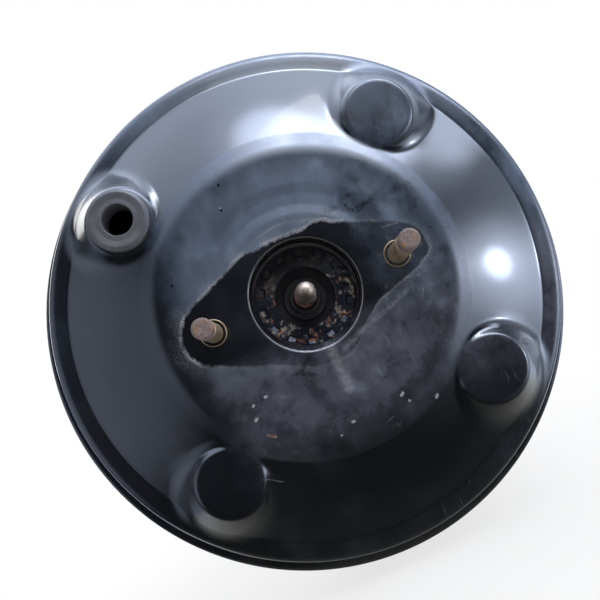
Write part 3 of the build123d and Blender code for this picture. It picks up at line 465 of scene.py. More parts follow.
inner_points = turned_grid(shell_loop[shell_rows:][::-1], shell_angles)

boss_pitch, boss_face_depth, boss_flat, boss_shoulder = 81.5, 3.0, 13.9, 2.2
boss_slope, boss_reach = 1.50, 34.0
boss_place = boss_pitch * math.cos(math.radians(45.0))
boss_centres = [(x * boss_place, z * boss_place) for x, z in ((1, 1), (-1, 1), (-1, -1), (1, -1))]
boss_corners = [
    (0.0, boss_face_depth), (boss_flat, boss_face_depth),
    (boss_reach, boss_face_depth + boss_slope * (boss_reach - boss_flat)),
]
boss_wall = bent_line(boss_corners, [boss_shoulder], 0.5)
boss_inward = 0.6  # how much wider a boss is on the sheet's inner side, for each millimetre of sheet
fillet_places, fillet_widths = (12.8, 17.5), (0.35, 5.5)  # fillet at a boss's face and at its wall's foot
fillet_end, fillet_fade = 114.0, 6.0  # radius by which the fillet has narrowed, over this width
stud_spacing, stud_pad, pad_fade = 80.0, 7.5, 13.0


def merged(first, second, width):
    """The lesser of two depths, with a fillet where they cross: polynomial blend over a width."""
    share = np.clip(0.5 + (first - second) / (2 * width), 0.0, 1.0)
    return first * (1 - share) + second * share - width * share * (1 - share)


def pressed(points, inset):
    """The sheet's depths with the bosses pressed out of the cone and a flat pad kept round each stud.

    A boss is a flat face, a rounded shoulder and a flared wall about a line parallel to Y. The sheet
    takes whichever lies further forward, cone or boss, with a fillet that is narrow where the face
    runs into the dome and wide at the wall's foot."""
    x, station, z = points[..., 0], points[..., 1], points[..., 2]
    radius = np.hypot(x, z)
    depth = station - face_station - inset
    on_cone = (radius > 52.0) & (radius < ledge_radius)
    for centre_x, centre_z in boss_centres:
        away = np.hypot(x - centre_x, z - centre_z)
        wall = np.interp(away + boss_inward * inset, boss_wall[:, 0], boss_wall[:, 1])
        width = np.interp(away, fillet_places, fillet_widths)
        width = width * np.clip((fillet_end - radius) / fillet_fade, 0.08, 1.0)
        depth = np.where(on_cone & (away < boss_reach), merged(depth, wall, width), depth)
    for side in (-stud_spacing / 2, stud_spacing / 2):
        away = np.clip((np.hypot(x - side, z) - stud_pad) / pad_fade, 0.0, 1.0)
        depth = np.where((radius > 30.0) & (radius < 50.0), depth * away * away * (3 - 2 * away), depth)
    return depth + face_station + inset


outer_points[..., 1] = pressed(outer_points, 0.0)
inner_points[..., 1] = pressed(inner_points, sheet)
hole_x, hole_z = boss_centres[1]
hole_radius, hole_collar, collar_fade = 9.4, 15.0, 3.0
from_hole = np.hypot(outer_points[..., 0] - hole_x, outer_points[..., 2] - hole_z)
flat_share = np.clip((hole_collar - from_hole) / collar_fade, 0.0, 1.0)[..., None]
inner_points[..., 0::2] += flat_share * (outer_points[..., 0::2] - inner_points[..., 0::2])
in_hole = from_hole < hole_radius
for points in (outer_points, inner_points):
    spread = (hole_radius / np.maximum(from_hole[in_hole], 1e-6))[:, None]
    centre = np.array([hole_x, hole_z])
    points[in_hole, 0::2] = centre + (points[in_hole, 0::2] - centre) * spread


def sheet_faces(hole):
    """Faces of a sheet whose outer and inner grids match: both sides, both edges, and the walls of a hole.

    A cell with all four corners in the hole is left out, and each side that it shares with a kept
    cell gets a wall from the outer grid to the inner one."""
    rows, columns = hole.shape
    index = np.arange(rows * columns).reshape(rows, columns)
    beside, gone = np.roll(index, -1, axis=1), np.roll(hole, -1, axis=1)
    cut = hole[:-1] & hole[1:] & gone[:-1] & gone[1:]
    cells = np.stack([index[:-1], beside[:-1], beside[1:], index[1:]], axis=2)
    shift = rows * columns
    whole = np.zeros((1, columns), bool)
    above = cut & ~np.concatenate([whole, cut[:-1]])
    below = cut & ~np.concatenate([cut[1:], whole])
    left = cut & ~np.roll(cut, 1, axis=1)
    right = cut & ~np.roll(cut, -1, axis=1)
    rims = [
        np.stack([beside[0], index[0]], axis=1),
        np.stack([index[-1], beside[-1]], axis=1),
        cells[above][:, [0, 1]],
        cells[below][:, [2, 3]],
        cells[left][:, [3, 0]],
        cells[right][:, [1, 2]],
    ]
    rims = np.concatenate(rims)
    walls = np.concatenate([rims, rims[:, ::-1] + shift], axis=1)
    return np.concatenate([cells[~cut], cells[~cut][:, ::-1] + shift, walls])


def without_strays(points, faces):
    """Points that faces use, and the faces renumbered; turned outward if the closed volume is negative."""
    used, renumbered = np.unique(faces, return_inverse=True)
    points, faces = points[used], renumbered.reshape(faces.shape)
    corners = points[faces]
    volume = np.sum(np.cross(corners[:, 0], corners[:, 1]) * corners[:, 2])
    volume += np.sum(np.cross(corners[:, 0], corners[:, 2]) * corners[:, 3])
    return points, (faces if volume > 0 else faces[:, ::-1])


black = Finish("front_shell_paint")
px, py, pz = black.axes()
from_axis = black.length(px, pz)
cloud = black.grain(0.018, 5.0, 0.6, black.at(move=(31.0, 4.0, 12.0)))
streaks = black.grain(0.05, 8.0, 0.62, black.at(scale=(1.0, 1.0, 0.45), turn=(0.0, 0.5, 0.0)))
fine = black.grain(0.55, 6.0, 0.72)
dot = black.grain(1.7, 3.0, 0.65)


def wander(reach, scale):
    """Two offsets in millimetres that let a drawn line wander."""
    first = black.sway(black.grain(scale, 4.0, 0.6), reach)
    return first, black.sway(black.grain(scale, 4.0, 0.6, black.at(move=(57.0, 19.0, 8.0))), reach)


def near_line(start, end, width, soft):
    """1 on a stroke from start to end, both (x, z) in millimetres, fading over soft past its half width."""
    start, end = np.array(start, float), np.array(end, float)
    length = float(np.linalg.norm(end - start))
    ux, uz = (end - start) / max(length, 1e-6)
    off_x, off_z = black.less(wx, float(start[0])), black.less(wz, float(start[1]))
    along = black.plus(black.times(off_x, float(ux)), black.times(off_z, float(uz)))
    along = black.fold("MINIMUM", black.most(along, 0.0), length)
    rest_x = black.less(off_x, black.times(along, float(ux)))
    rest_z = black.less(off_z, black.times(along, float(uz)))
    gap = black.length(rest_x, rest_z)
    return black.step(gap, width + soft, width)


wander_x, wander_z = wander(3.0, 0.11)
wx, wz = black.plus(px, wander_x), black.plus(pz, wander_z)

# Print left by the master cylinder's flange: a round hub that narrows to a lobe round each stud. The
# distance to that outline is the distance to two circles and their common tangent.
hub_print, lobe_print, lobe_reach = 29.5, 13.5, 40.0
tangent_sine = (hub_print - lobe_print) / lobe_reach
tangent_cosine = math.sqrt(1 - tangent_sine**2)
side_x = black.only("ABSOLUTE", wx)
lower_right = black.times(black.step(wz, 0.0, -6.0), black.step(wx, 8.0, 30.0))
side_z = black.times(black.only("ABSOLUTE", wz), black.plus(black.times(lower_right, 0.45), 1.0))
reach_from_hub = black.less(black.length(side_x, side_z), hub_print)
lobe_x = black.less(side_x, lobe_reach)
reach_from_lobe = black.less(black.length(lobe_x, side_z), lobe_print)
reach_from_tangent = black.less(
    black.plus(black.times(side_z, tangent_cosine), black.times(side_x, tangent_sine)),
    hub_print,
)
along_tangent = black.less(black.times(side_x, tangent_cosine), black.times(side_z, tangent_sine))
past_hub = black.fold("GREATER_THAN", along_tangent, 0.0)
past_lobe = black.fold("GREATER_THAN", along_tangent, tangent_cosine * lobe_reach)
between = black.less(past_hub, past_lobe)
from_print = black.plus(
    black.times(reach_from_hub, black.less(1.0, past_hub)),
    black.times(reach_from_tangent, between),
    black.times(reach_from_lobe, past_lobe),
)
outer_edge = black.plus(from_print, black.sway(fine, 3.4))
from_print = black.most(from_print, black.less(wz, 24.8))
ragged = black.plus(from_print, black.sway(fine, 2.6))
in_print = black.step(ragged, 0.5, -1.2)
crust_side = black.step(black.less(pz, black.times(px, 0.45)), -6.0, 16.0, 0.0, 1.0)
wiped_side = black.times(black.step(px, 14.0, 30.0), black.step(pz, 6.0, -4.0))
broken = black.step(black.grain(0.10, 4.0, 0.6, black.at(move=(12.0, 33.0, 5.0))), 0.38, 0.62, 0.22, 1.0)
crust_edge = black.times(black.most(crust_side, black.times(wiped_side, 0.5), 0.16), broken)
crust_line = black.step(black.only("ABSOLUTE", ragged), 1.25, 0.15)
crust_line = black.most(crust_line, black.step(black.only("ABSOLUTE", outer_edge), 0.9, 0.1, 0.0, 0.45))
crust_line = black.times(crust_line, black.step(dot, 0.36, 0.64, 0.15), crust_edge)
crust_halo = black.times(black.step(from_print, 8.0, 0.0), black.less(1.0, in_print))
crust_halo = black.times(crust_halo, black.step(dot, 0.40, 0.72), crust_edge)
on_flat = black.most(
    black.step(black.plus(from_axis, black.times(wander_x, 6.0)), 70.0, 48.0),
    black.step(py, -95.9, -96.8, 0.0, 0.62),
    black.step(from_axis, 103.0, 107.5, 0.0, 0.60),
)
# Painted light in the film: it is cut back on the left, leaving bare black as a painted dark reflection, and
# kept full and even toward the upper left as a painted sky sheen. Elsewhere it is mottled dust, thinner
# toward the bottom.
film_cut_for_dark_reflection = black.step(black.plus(px, black.times(wander_z, 4.0)), -58.0, -40.0, 0.12, 1.0)
sky_sheen_side = black.step(black.less(pz, black.times(px, 0.8)), -14.0, 22.0, 0.0, 0.95)
mottle = black.grain(0.075, 7.0, 0.68, black.at(move=(3.0, 71.0, 40.0)))
clean_side = black.step(black.plus(px, black.times(wander_x, 5.0)), 24.0, 34.0, 1.0, 0.62)
clean_print = black.times(in_print, black.step(pz, -24.0, -10.0, 0.45, 0.97), clean_side)
outside = black.less(1.0, clean_print)
film_and_sheen = black.times(on_flat, outside, film_cut_for_dark_reflection, black.step(streaks, 0.28, 0.74, 0.58))
clouded = black.step(cloud, 0.25, 0.70, 0.66)
film_and_sheen = black.times(film_and_sheen, clouded, black.most(black.step(mottle, 0.34, 0.64, 0.45, 1.12), sky_sheen_side))
low_edge = black.plus(pz, black.times(wander_z, 7.0))
film_and_sheen = black.times(film_and_sheen, black.step(low_edge, -66.0, -42.0, 0.22))
thin = black.times(black.step(cloud, 0.42, 0.70), black.step(streaks, 0.35, 0.75))
dust_and_sheen = black.plus(black.times(film_and_sheen, 0.98), black.times(thin, 0.13), clamp=True)


def strokes(lines, soft):
    """Several strokes in one, each (x, z, x, z, half width)."""
    first, *others = [near_line(line[:2], line[2:4], line[4], soft) for line in lines]
    return black.most(first, *others)


smear = black.times(near_line((0.2, -22.5), (1.0, -41.0), 0.3, 2.8), black.step(fine, 0.30, 0.7, 0.2))
wipe = strokes(((37.4, -15.3, 19.8, -21.0, 0.1), (19.8, -21.0, 5.1, -26.2, 0.1)), 1.7)
wipe = black.times(wipe, black.step(fine, 0.36, 0.66, 0.1))
flecks = black.times(black.step(dot, 0.705, 0.735), black.step(pz, 30.0, -30.0), on_flat)
scuffs = (
    (27.9, 29.6, 31.5, 29.9, 0.1), (27.6, 29.2, 29.6, 25.0, 0.0), (29.6, 25.0, 32.8, 23.0, 0.5),
    (32.8, 23.0, 39.1, 24.3, 0.15), (21.5, 27.6, 25.5, 27.0, 0.4), (-9.0, -23.4, -13.9, -27.9, 0.2),
    (-17.5, -27.6, -9.5, -31.0, 0.0),
)
rings = ((-47.8, 24.1, -47.7, 24.1, 0.3), (-17.6, 44.2, -17.5, 44.3, 0.3), (-14.6, 54.6, -14.5, 54.7, 0.35))
smudges = ((46.0, 62.0, 50.5, 57.0, 1.0), (57.5, 57.5, 59.0, 53.5, 0.7), (41.5, 60.5, 45.0, 60.5, 0.7))
scuffed = black.times(strokes(scuffs, 1.5), black.step(fine, 0.34, 0.62, 0.15, 0.8))
pits = black.most(scuffed, strokes(rings, 0.5))
smudged = black.times(strokes(smudges, 2.2), black.step(fine, 0.38, 0.6))
marks = strokes(
    (
        (19.4, -51.8, 18.6, -52.3, 0.35), (32.0, -58.8, 32.5, -58.5, 0.4), (-3.0, -54.0, -2.4, -54.2, 0.3),
        (-9.8, -56.8, -9.5, -56.7, 0.2), (20.3, -55.2, 20.6, -55.3, 0.15), (-31.1, -31.8, -30.7, -31.7, 0.3),
        (-37.5, -32.9, -37.0, -32.6, 0.25), (-38.0, -38.4, -37.5, -38.0, 0.35),
        (-17.7, 45.2, -17.6, 45.2, 0.1),
    ),
    0.45,
)
marks = black.times(marks, black.step(fine, 0.30, 0.5, 0.35))
scratches = strokes(
    (
        (30.9, -9.9, 27.7, -17.0, 0.0), (44.4, -16.7, 41.8, -20.6, 0.0), (43.8, -11.4, 47.6, -10.5, 0.0),
        (9.0, -60.0, 13.0, -58.6, 0.0), (39.0, 12.0, 47.0, 11.4, 0.0), (-44.0, -62.0, -38.0, -66.0, 0.0),
    ),
    0.30,
)
scratches = black.times(scratches, black.step(fine, 0.42, 0.6))
rubbed = black.grain(0.34, 6.0, 0.72, black.at(scale=(1.0, 1.0, 0.22), turn=(0.0, -0.75, 0.0)))
rubbed = black.times(
    black.step(rubbed, 0.56, 0.74), black.step(px, -16.0, 16.0), black.step(pz, 24.0, 2.0), on_flat
)
rust_mark = black.times(near_line((-36.0, -45.8), (-33.5, -47.2), 0.3, 0.5), black.step(fine, 0.4, 0.55))
dust_and_sheen = black.times(dust_and_sheen, black.less(1.0, black.times(pits, 0.9)))
white_share = black.most(black.times(crust_line, 0.78), black.times(crust_halo, 0.30))
white_share = black.most(
    white_share,
    black.times(smear, 0.32),
    black.times(wipe, 0.30),
    black.times(flecks, 0.42),
    black.times(rubbed, 0.17),
    black.times(marks, 0.70),
    black.times(scratches, 0.40),
)

# Worn mouth of the neck, where the spigot has gone in and out: bare steel from the left round the
# bottom to the lower right.
mouth_radius = 22.85
from_mouth = black.only("ABSOLUTE", black.less(from_axis, mouth_radius))
mouth = black.times(black.step(from_mouth, 0.34, 0.06), black.step(py, -99.2, -99.6))
mouth_side = black.step(black.plus(pz, black.times(px, 0.62)), 14.0, -8.0)
worn = black.times(mouth, black.plus(black.times(mouth_side, 0.85), 0.15), black.step(fine, 0.30, 0.52))

# The film's colour is dust and a painted sky sheen in one: blue-grey, and bluer toward the top.
film_and_sky_sheen_tone = black.blend(black.step(pz, 10.0, -30.0), (0.100, 0.132, 0.195), (0.115, 0.122, 0.160))
painted = black.blend(dust_and_sheen, (0.0035, 0.004, 0.0055), film_and_sky_sheen_tone)
painted = black.blend(black.times(smudged, 0.6), painted, (0.03, 0.022, 0.022))
painted = black.blend(white_share, painted, (0.42, 0.41, 0.43))
painted = black.blend(rust_mark, painted, (0.40, 0.22, 0.12))
covered = black.most(dust_and_sheen, white_share, rust_mark)
paint_rough = black.plus(black.step(cloud, 0.3, 0.75, 0.15, 0.22), black.times(covered, 0.35), clamp=True)
black.set(
    Base_Color=black.blend(worn, painted, (0.40, 0.39, 0.37)),
    Metallic=worn,
    Roughness=black.plus(paint_rough, black.times(worn, -0.02)),
    Specular_IOR_Level=0.55,
    Coat_Weight=black.step(black.most(covered, worn), 0.0, 0.5, 0.40, 0.0),
    Coat_Roughness=0.06,
    Normal=black.bump(
        black.plus(
            black.times(black.grain(0.06, 3.0, 0.5), 0.5),
            black.times(dot, 0.012),
            black.times(white_share, fine, 0.8),
        ),
        0.10,
    ),
)

skin_points, skin_faces = without_strays(
    np.concatenate([outer_points.reshape(-1, 3), inner_points.reshape(-1, 3)]), sheet_faces(in_hole)
)
finished(
    "front_shell_skin", skin_points, skin_faces.tolist(), "housing", black.owner,
    ["front_shell"], crease=60.0,
)

# ------------------------------------------------------------------ seal and retainer
# Moulded rubber seal in the shell's neck, its lip running on the output rod, held by a ring of
# blued spring steel. The ring is pierced round its edge and a tongue in each window is bent back.


def rounded(corners, bend, spacing, closed=True):
    """An outline with its corners rounded, each by as much of the bend as its two sides leave room for."""
    corners = np.asarray(corners, float)
    if closed:
        middle = (corners[0] + corners[-1]) / 2
        corners = np.concatenate([[middle], corners, [middle]])
    sides = np.linalg.norm(np.diff(corners, axis=0), axis=1)
    ways = np.diff(corners, axis=0) / sides[:, None]
    turns = np.arccos(np.clip(np.sum(ways[:-1] * ways[1:], axis=1), -1.0, 1.0))
    room = 0.42 * np.minimum(sides[:-1], sides[1:]) / np.tan(np.maximum(turns, 0.01) / 2)
    line = bent_line(corners, np.minimum(bend, room), spacing)
    return line[:-1] if closed else line


def toned(colour, share):
    """A colour with each of its parts multiplied by a share."""
    return [share * part for part in colour]


def black_rubber(name, colour, rough, bloom, bloom_share, grain_scale=0.9):
    """Moulded black rubber: fine moulded grain, and a pale bloom that comes and goes over the surface."""
    rubber = Finish(name)
    patch = rubber.step(rubber.grain(0.11, 5.0, 0.65), 0.38, 0.72)
    fine = rubber.grain(grain_scale, 3.0, 0.7)
    tint = rubber.blend(rubber.times(patch, bloom_share), colour, bloom)
    return rubber.set(
        Base_Color=rubber.blend(rubber.times(fine, 0.25), tint, toned(colour, 0.55)),
        Roughness=rubber.step(fine, 0.2, 0.8, rough - 0.08, rough + 0.08),
        Specular_IOR_Level=0.42,
        Normal=rubber.bump(fine, 0.05),
    )


def old_steel(name, colour, rough, stains=(), streak=(1.0, 1.0, 1.0), depth=0.02, shade_heights=None):
    """Bare or thinly coated steel: a drawn grain along its streak, and stains that each take over where
    their own noise is high. A stain is (colour, scale, low, high, roughness, shift of its noise)."""
    steel = Finish(name)
    grain = steel.grain(1.6, 3.0, 0.6, steel.at(scale=streak))
    tone = steel.grain(0.16, 4.0, 0.6)
    shade = steel.blend(steel.step(tone, 0.3, 0.75, 0.0, 0.45), colour, toned(colour, 0.62))
    gloss = steel.step(grain, 0.2, 0.8, rough - 0.07, rough + 0.10)
    bare = 1.0
    for stain, scale, low, high, stain_rough, shift in stains:
        place = steel.at(move=(shift, 2.3 * shift, 0.7 * shift))
        share = steel.step(steel.grain(scale, 6.0, 0.68, place), low, high)
        shade = steel.blend(share, shade, stain)
        gloss = steel.plus(gloss, steel.times(share, stain_rough - rough))
        bare = steel.less(bare, steel.times(share, 0.75), clamp=True)
    # Painted shade: above the given heights, with a ragged edge, the steel turns near black and loses its
    # metal, standing in for the shadow on the ring's upper part.
    if shade_heights:
        height = steel.axes()[2]
        patchy = steel.sway(steel.grain(0.3, 5.0, 0.65), 16.0)
        shade_on_top = steel.step(steel.plus(height, patchy), *shade_heights, 0.0, 0.93)
        shade = steel.blend(shade_on_top, shade, (0.004, 0.0035, 0.004))
        bare = steel.times(bare, steel.less(1.0, shade_on_top))
    return steel.set(
        Base_Color=shade,
        Roughness=gloss,
        Metallic=bare,
        Normal=steel.bump(steel.plus(grain, steel.grain(0.7, 5.0, 0.65)), depth),
    )


def refinish(node, material):
    """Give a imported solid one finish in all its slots."""
    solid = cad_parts[node]
    solid.data.materials.clear()
    solid.data.materials.append(material)


seal_outline = [
    (15.6, -87.6), (16.7, -87.6), (16.7, -86.45), (20.0, -86.45), (20.0, -87.6), (20.55, -87.6),
    (20.55, -72.6), (19.75, -71.8), (15.6, -71.8), (15.6, -78.9), (9.3, -78.9), (9.3, -77.6),
    (5.05, -77.6), (5.05, -84.8), (6.7, -84.8), (6.7, -82.6), (9.3, -82.6), (9.3, -80.5), (15.6, -80.5),
]
seal_rubber = black_rubber("seal_rubber", (0.020, 0.019, 0.022), 0.42, (0.055, 0.05, 0.06), 0.5)
turned_piece(
    "plate_seal_lips", rounded(seal_outline, 0.45, 0.8), "housing", seal_rubber,
    ["plate_seal"],
)
retainer_steel = old_steel(
    "retainer_steel",
    (0.085, 0.092, 0.115),
    0.33,
    (
        ((0.24, 0.20, 0.15), 0.30, 0.53, 0.63, 0.7, 3.0),
        ((0.42, 0.38, 0.31), 0.45, 0.61, 0.68, 0.75, 9.0),
        ((0.26, 0.085, 0.035), 0.32, 0.57, 0.64, 0.85, 17.0),
    ),
    # painted shade over the ring's upper part, from 2 to 15 mm height
    shade_heights=(2.0, 15.0),
)
refinish("seal_retainer", retainer_steel)

# ------------------------------------------------------------------ grommet
# Soft rubber grommet pushed into the pierced boss; its face is slightly dished and its bore takes the
# barb of the vacuum check valve. The rubber has gone grey on the side that faces up.
grommet_outline = [
    (6.7, -100.4), (8.6, -100.15), (11.3, -100.6), (12.9, -99.55), (12.9, -96.85), (9.35, -96.85),
    (9.35, -94.8), (11.6, -94.8), (10.0, -89.8), (6.4, -89.8), (6.4, -99.95),
]
grommet_rubber = black_rubber("grommet_rubber", (0.075, 0.076, 0.086), 0.5, (0.16, 0.155, 0.165), 0.6)
turned_piece(
    "check_valve_grommet", rounded(grommet_outline, 0.9, 0.7), "housing", grommet_rubber,
    ["vacuum_grommet"], centres=(boss_centres[1],),
)

# ------------------------------------------------------------------ studs and their plates
# M8 studs with a staked collar, zinc plated and yellow passivated. The two in front have rusted at
# their ends; each set is spread by a pressed plate inside its shell.


def stud_outline(face, seat, projection):
    """Half outline of a stud that points to +Y: head, body, staked rim, shank, neck groove and end."""
    head, body, rim, shank, groove = 7.5, 5.5, 5.1, 3.95, 3.3
    end = face + projection
    neck = end - 5.8
    return [
        (0.0, seat - 3.0), (head, seat - 3.0), (head, seat), (body, seat), (body, face - 0.1),
        (5.55, face + 0.9), (5.3, face + 1.4), (rim, face + 1.0), (rim, face - 0.6), (shank, face - 0.6),
        (shank, neck - 1.4), (groove, neck - 1.2), (groove, neck - 0.2), (shank, neck), (shank, end - 0.8),
        (3.15, end), (0.0, end),
    ]


def threaded(radius, station, angle, start, end, pitch, depth):
    """Radius with a right-hand thread cut in it: a 60 degree vee that runs out at both ends."""
    phase = np.mod((station - start) / pitch - angle / (2 * math.pi), 1.0)
    vee = 1.0 - np.abs(2 * phase - 1.0)
    vee = np.clip(1.25 * vee - 0.1, 0.0, 1.0)
    ramp = np.clip(np.minimum(station - start, end - station) / (1.2 * pitch), 0.0, 1.0)
    return radius - depth * vee * ramp


def stud_zinc(name, end_station, end_side, rust_share):
    """Yellow zinc with white bloom; rust grows toward the end of the shank, which lies on end_side of Y."""
    zinc = Finish(name)
    along = zinc.axes()
    blotch = zinc.grain(0.28, 6.0, 0.66)
    fine = zinc.grain(1.3, 5.0, 0.7)
    from_end = zinc.times(zinc.less(end_station, along[1]), end_side)
    near_end = zinc.step(from_end, 7.4, 5.2)
    rust = zinc.times(zinc.step(zinc.plus(blotch, zinc.times(near_end, 0.42)), 0.60, 0.74), rust_share)
    gold = zinc.blend(zinc.step(blotch, 0.35, 0.7), (0.44, 0.30, 0.165), (0.62, 0.50, 0.34))
    bloom = zinc.step(zinc.grain(0.5, 5.0, 0.7, zinc.at(move=(5, 8, 3))), 0.56, 0.70)
    pale = zinc.blend(bloom, gold, (0.60, 0.56, 0.47))
    mauve = zinc.blend(zinc.step(fine, 0.25, 0.75), (0.085, 0.058, 0.055), (0.27, 0.205, 0.185))
    fresh = zinc.step(zinc.grain(0.33, 5.0, 0.7, zinc.at(move=(2, 1, 6))), 0.55, 0.68)
    orange = zinc.blend(fresh, mauve, (0.30, 0.13, 0.032))
    return zinc.set(
        Base_Color=zinc.blend(rust, pale, orange),
        Metallic=zinc.step(rust, 0.0, 1.0, 0.72, 0.12),
        Roughness=zinc.plus(zinc.step(rust, 0.0, 1.0, 0.34, 0.72), zinc.times(fine, 0.12)),
        Normal=zinc.bump(zinc.plus(fine, zinc.times(rust, 0.8)), 0.10),
    )


front_stud = np.array(stud_outline(100.0, 94.7, 27.5)) * (1.0, -1.0)
turned_piece(
    "master_cylinder_stud_pair", rounded(front_stud, 0.35, 0.8, closed=False), "housing",
    stud_zinc("front_stud_zinc", -127.5, -1.0, 1.0), ["master_cylinder_studs"],
    centres=((-40.0, 0.0), (40.0, 0.0)), around=96,
)
half_pitch_x, half_pitch_z = stud_spacing / 2, 35.0
bulkhead_places = [(x, z) for x in (-half_pitch_x, half_pitch_x) for z in (-half_pitch_z, half_pitch_z)]
turned_piece(
    "bulkhead_stud_set", rounded(stud_outline(0.0, -4.3, 24.0), 0.3, 0.22, closed=False), "housing",
    stud_zinc("rear_stud_zinc", 24.0, 1.0, 0.12), ["bulkhead_studs"],
    centres=bulkhead_places, around=48, thread=(3.0, 16.6, 1.25, 0.62),
)
plate_steel = old_steel(
    "stud_plate_steel", (0.33, 0.33, 0.34), 0.38, (((0.10, 0.085, 0.07), 0.12, 0.52, 0.72, 0.6, 4.0),)
)
refinish("front_stud_plate", plate_steel)
refinish("rear_stud_plate", plate_steel)

# ------------------------------------------------------------------ rear shell
# Drawn steel dish clamped in the front shell's hem. Its flat ring meets the bulkhead, and its neck,
# turned out to the rear, guides the valve body's tube. Same black paint, kept cleaner.
rear_corners = [
    (124.3, -43.7), (117.5, -43.7), (113.0, -14.0), (86.0, -0.9), (25.4, -0.9), (25.4, 14.1), (20.6, 14.1),
]
rear_line = bent_line(rear_corners, [2.0, 14.0, 16.0, 2.6, 1.2], 1.2)
rear_black = Finish("rear_shell_paint")
rear_dust = rear_black.grain(0.04, 6.0, 0.64)
orange_peel = rear_black.grain(0.35, 3.0, 0.5)
rear_black.set(
    Base_Color=rear_black.blend(
        rear_black.step(rear_dust, 0.5, 0.85, 0.0, 0.35), (0.007, 0.0075, 0.009), (0.12, 0.115, 0.105)
    ),
    Roughness=rear_black.step(rear_dust, 0.3, 0.8, 0.26, 0.44),
    Coat_Weight=0.6,
    Coat_Roughness=0.15,
    Normal=rear_black.bump(orange_peel, 0.03),
)
turned_piece(
    "rear_shell_skin", sheet_loop(rear_line, sheet, 2), "housing", rear_black.owner,
    ["rear_shell"], around=256, crease=60.0,
)

# ------------------------------------------------------------------ neck fittings
# A steel ring, a lipped rubber seal and a guide bush of natural resin sit in the rear neck round the
# valve body's tube.
bright_steel = old_steel(
    "piston_steel", (0.46, 0.46, 0.47), 0.30, (((0.24, 0.23, 0.21), 0.15, 0.5, 0.72, 0.5, 6.0),)
)
refinish("neck_ring", bright_steel)
refinish("neck_seal", seal_rubber)


def moulded_resin(name, colour, rough, flow):
    """Moulded resin: a matte skin with long faint flow marks and a scatter of filler specks."""
    resin = Finish(name)
    marks = resin.grain(0.10, 4.0, 0.6, resin.at(scale=flow), distort=0.6)
    specks = resin.step(resin.grain(2.2, 2.0, 0.5), 0.62, 0.72)
    shade = resin.blend(marks, toned(colour, 0.82), [min(1.0, 1.15 * part) for part in colour])
    return resin.set(
        Base_Color=resin.blend(resin.times(specks, 0.3), shade, [0.5 * part + 0.04 for part in colour]),
        Roughness=resin.step(marks, 0.2, 0.8, rough - 0.05, rough + 0.08),
        Normal=resin.bump(resin.grain(1.4, 3.0, 0.6), 0.03),
    )


refinish("neck_bush", moulded_resin("bush_resin", (0.72, 0.69, 0.60), 0.42, (1.0, 0.2, 1.0)))

# ------------------------------------------------------------------ power piston
# Pressed support plate on a moulded valve body, with the rubber diaphragm behind it. The diaphragm's
# bead stays in the hem while its middle goes forward with the piston.
refinish("diaphragm_plate", bright_steel)
refinish("valve_body", moulded_resin("valve_body_resin", (0.085, 0.085, 0.09), 0.45, (0.4, 0.15, 0.4)))
diaphragm_corners = [
    (27.0, -9.1), (94.0, -10.4), (106.5, -17.4), (109.3, -34.0), (115.0, -46.0), (122.7, -46.0),
]
diaphragm_line = bent_line(diaphragm_corners, [10.0, 6.0, 8.0, 4.0], 1.2)
diaphragm_loop = sheet_loop(diaphragm_line, 1.8, 2)
diaphragm_rubber = black_rubber("diaphragm_rubber", (0.024, 0.024, 0.026), 0.5, (0.06, 0.058, 0.055), 0.5)
diaphragm_piece = turned_piece(
    "diaphragm_sheet", diaphragm_loop, "housing", diaphragm_rubber, ["diaphragm"],
    around=180, crease=60.0,
)
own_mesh(diaphragm_piece)

# ------------------------------------------------------------------ output rod
# Forged rod with its head on the rubber reaction disc, kept by a pressed cap; the screw in its end is
# ground to a dome and sets the length. Rod and screw have a brown film of rust where air reaches them.
refinish("reaction_disc", seal_rubber)
refinish("rod_cap", bright_steel)
rod_outline = [
    (0.0, -35.0), (12.4, -35.0), (12.4, -37.2), (11.4, -38.2), (6.35, -38.2), (4.75, -40.6), (4.75, -93.5),
    (4.25, -94.0), (3.95, -94.0), (3.95, -82.0), (0.0, -80.4),
]
rod_steel = old_steel(
    "output_rod_steel",
    (0.25, 0.19, 0.165),
    0.36,
    (
        ((0.155, 0.045, 0.026), 0.25, 0.44, 0.62, 0.6, 5.0),
        ((0.34, 0.25, 0.19), 0.5, 0.60, 0.70, 0.6, 11.0),
    ),
)
turned_piece(
    "output_rod_shank", rounded(rod_outline, 0.3, 2.0, closed=False), "power_piston", rod_steel,
    ["output_rod"], around=96,
)
tip_outline = [
    (0.0, -110.6), (1.2, -110.45), (1.75, -110.05), (1.95, -109.9), (2.6, -109.3), (3.2, -108.3),
    (3.2, -107.0), (3.9, -105.4), (3.9, -82.0), (0.0, -82.0),
]
tip_steel = old_steel(
    "adjuster_steel",
    (0.40, 0.32, 0.25),
    0.54,
    (
        ((0.30, 0.20, 0.13), 0.45, 0.55, 0.72, 0.5, 2.0),
        ((0.17, 0.06, 0.035), 0.35, 0.60, 0.70, 0.55, 8.0),
    ),
)
turned_piece(
    "rod_adjuster_screw", rounded(tip_outline, 0.6, 0.2, closed=False), "power_piston", tip_steel,
    ["rod_adjuster"], around=96, thread=(-105.2, -83.0, 1.0, 0.35),
)

# ------------------------------------------------------------------ return spring
# Oil-tempered round wire. Its end coils lie closed on the stud plate and on the piston's plate.


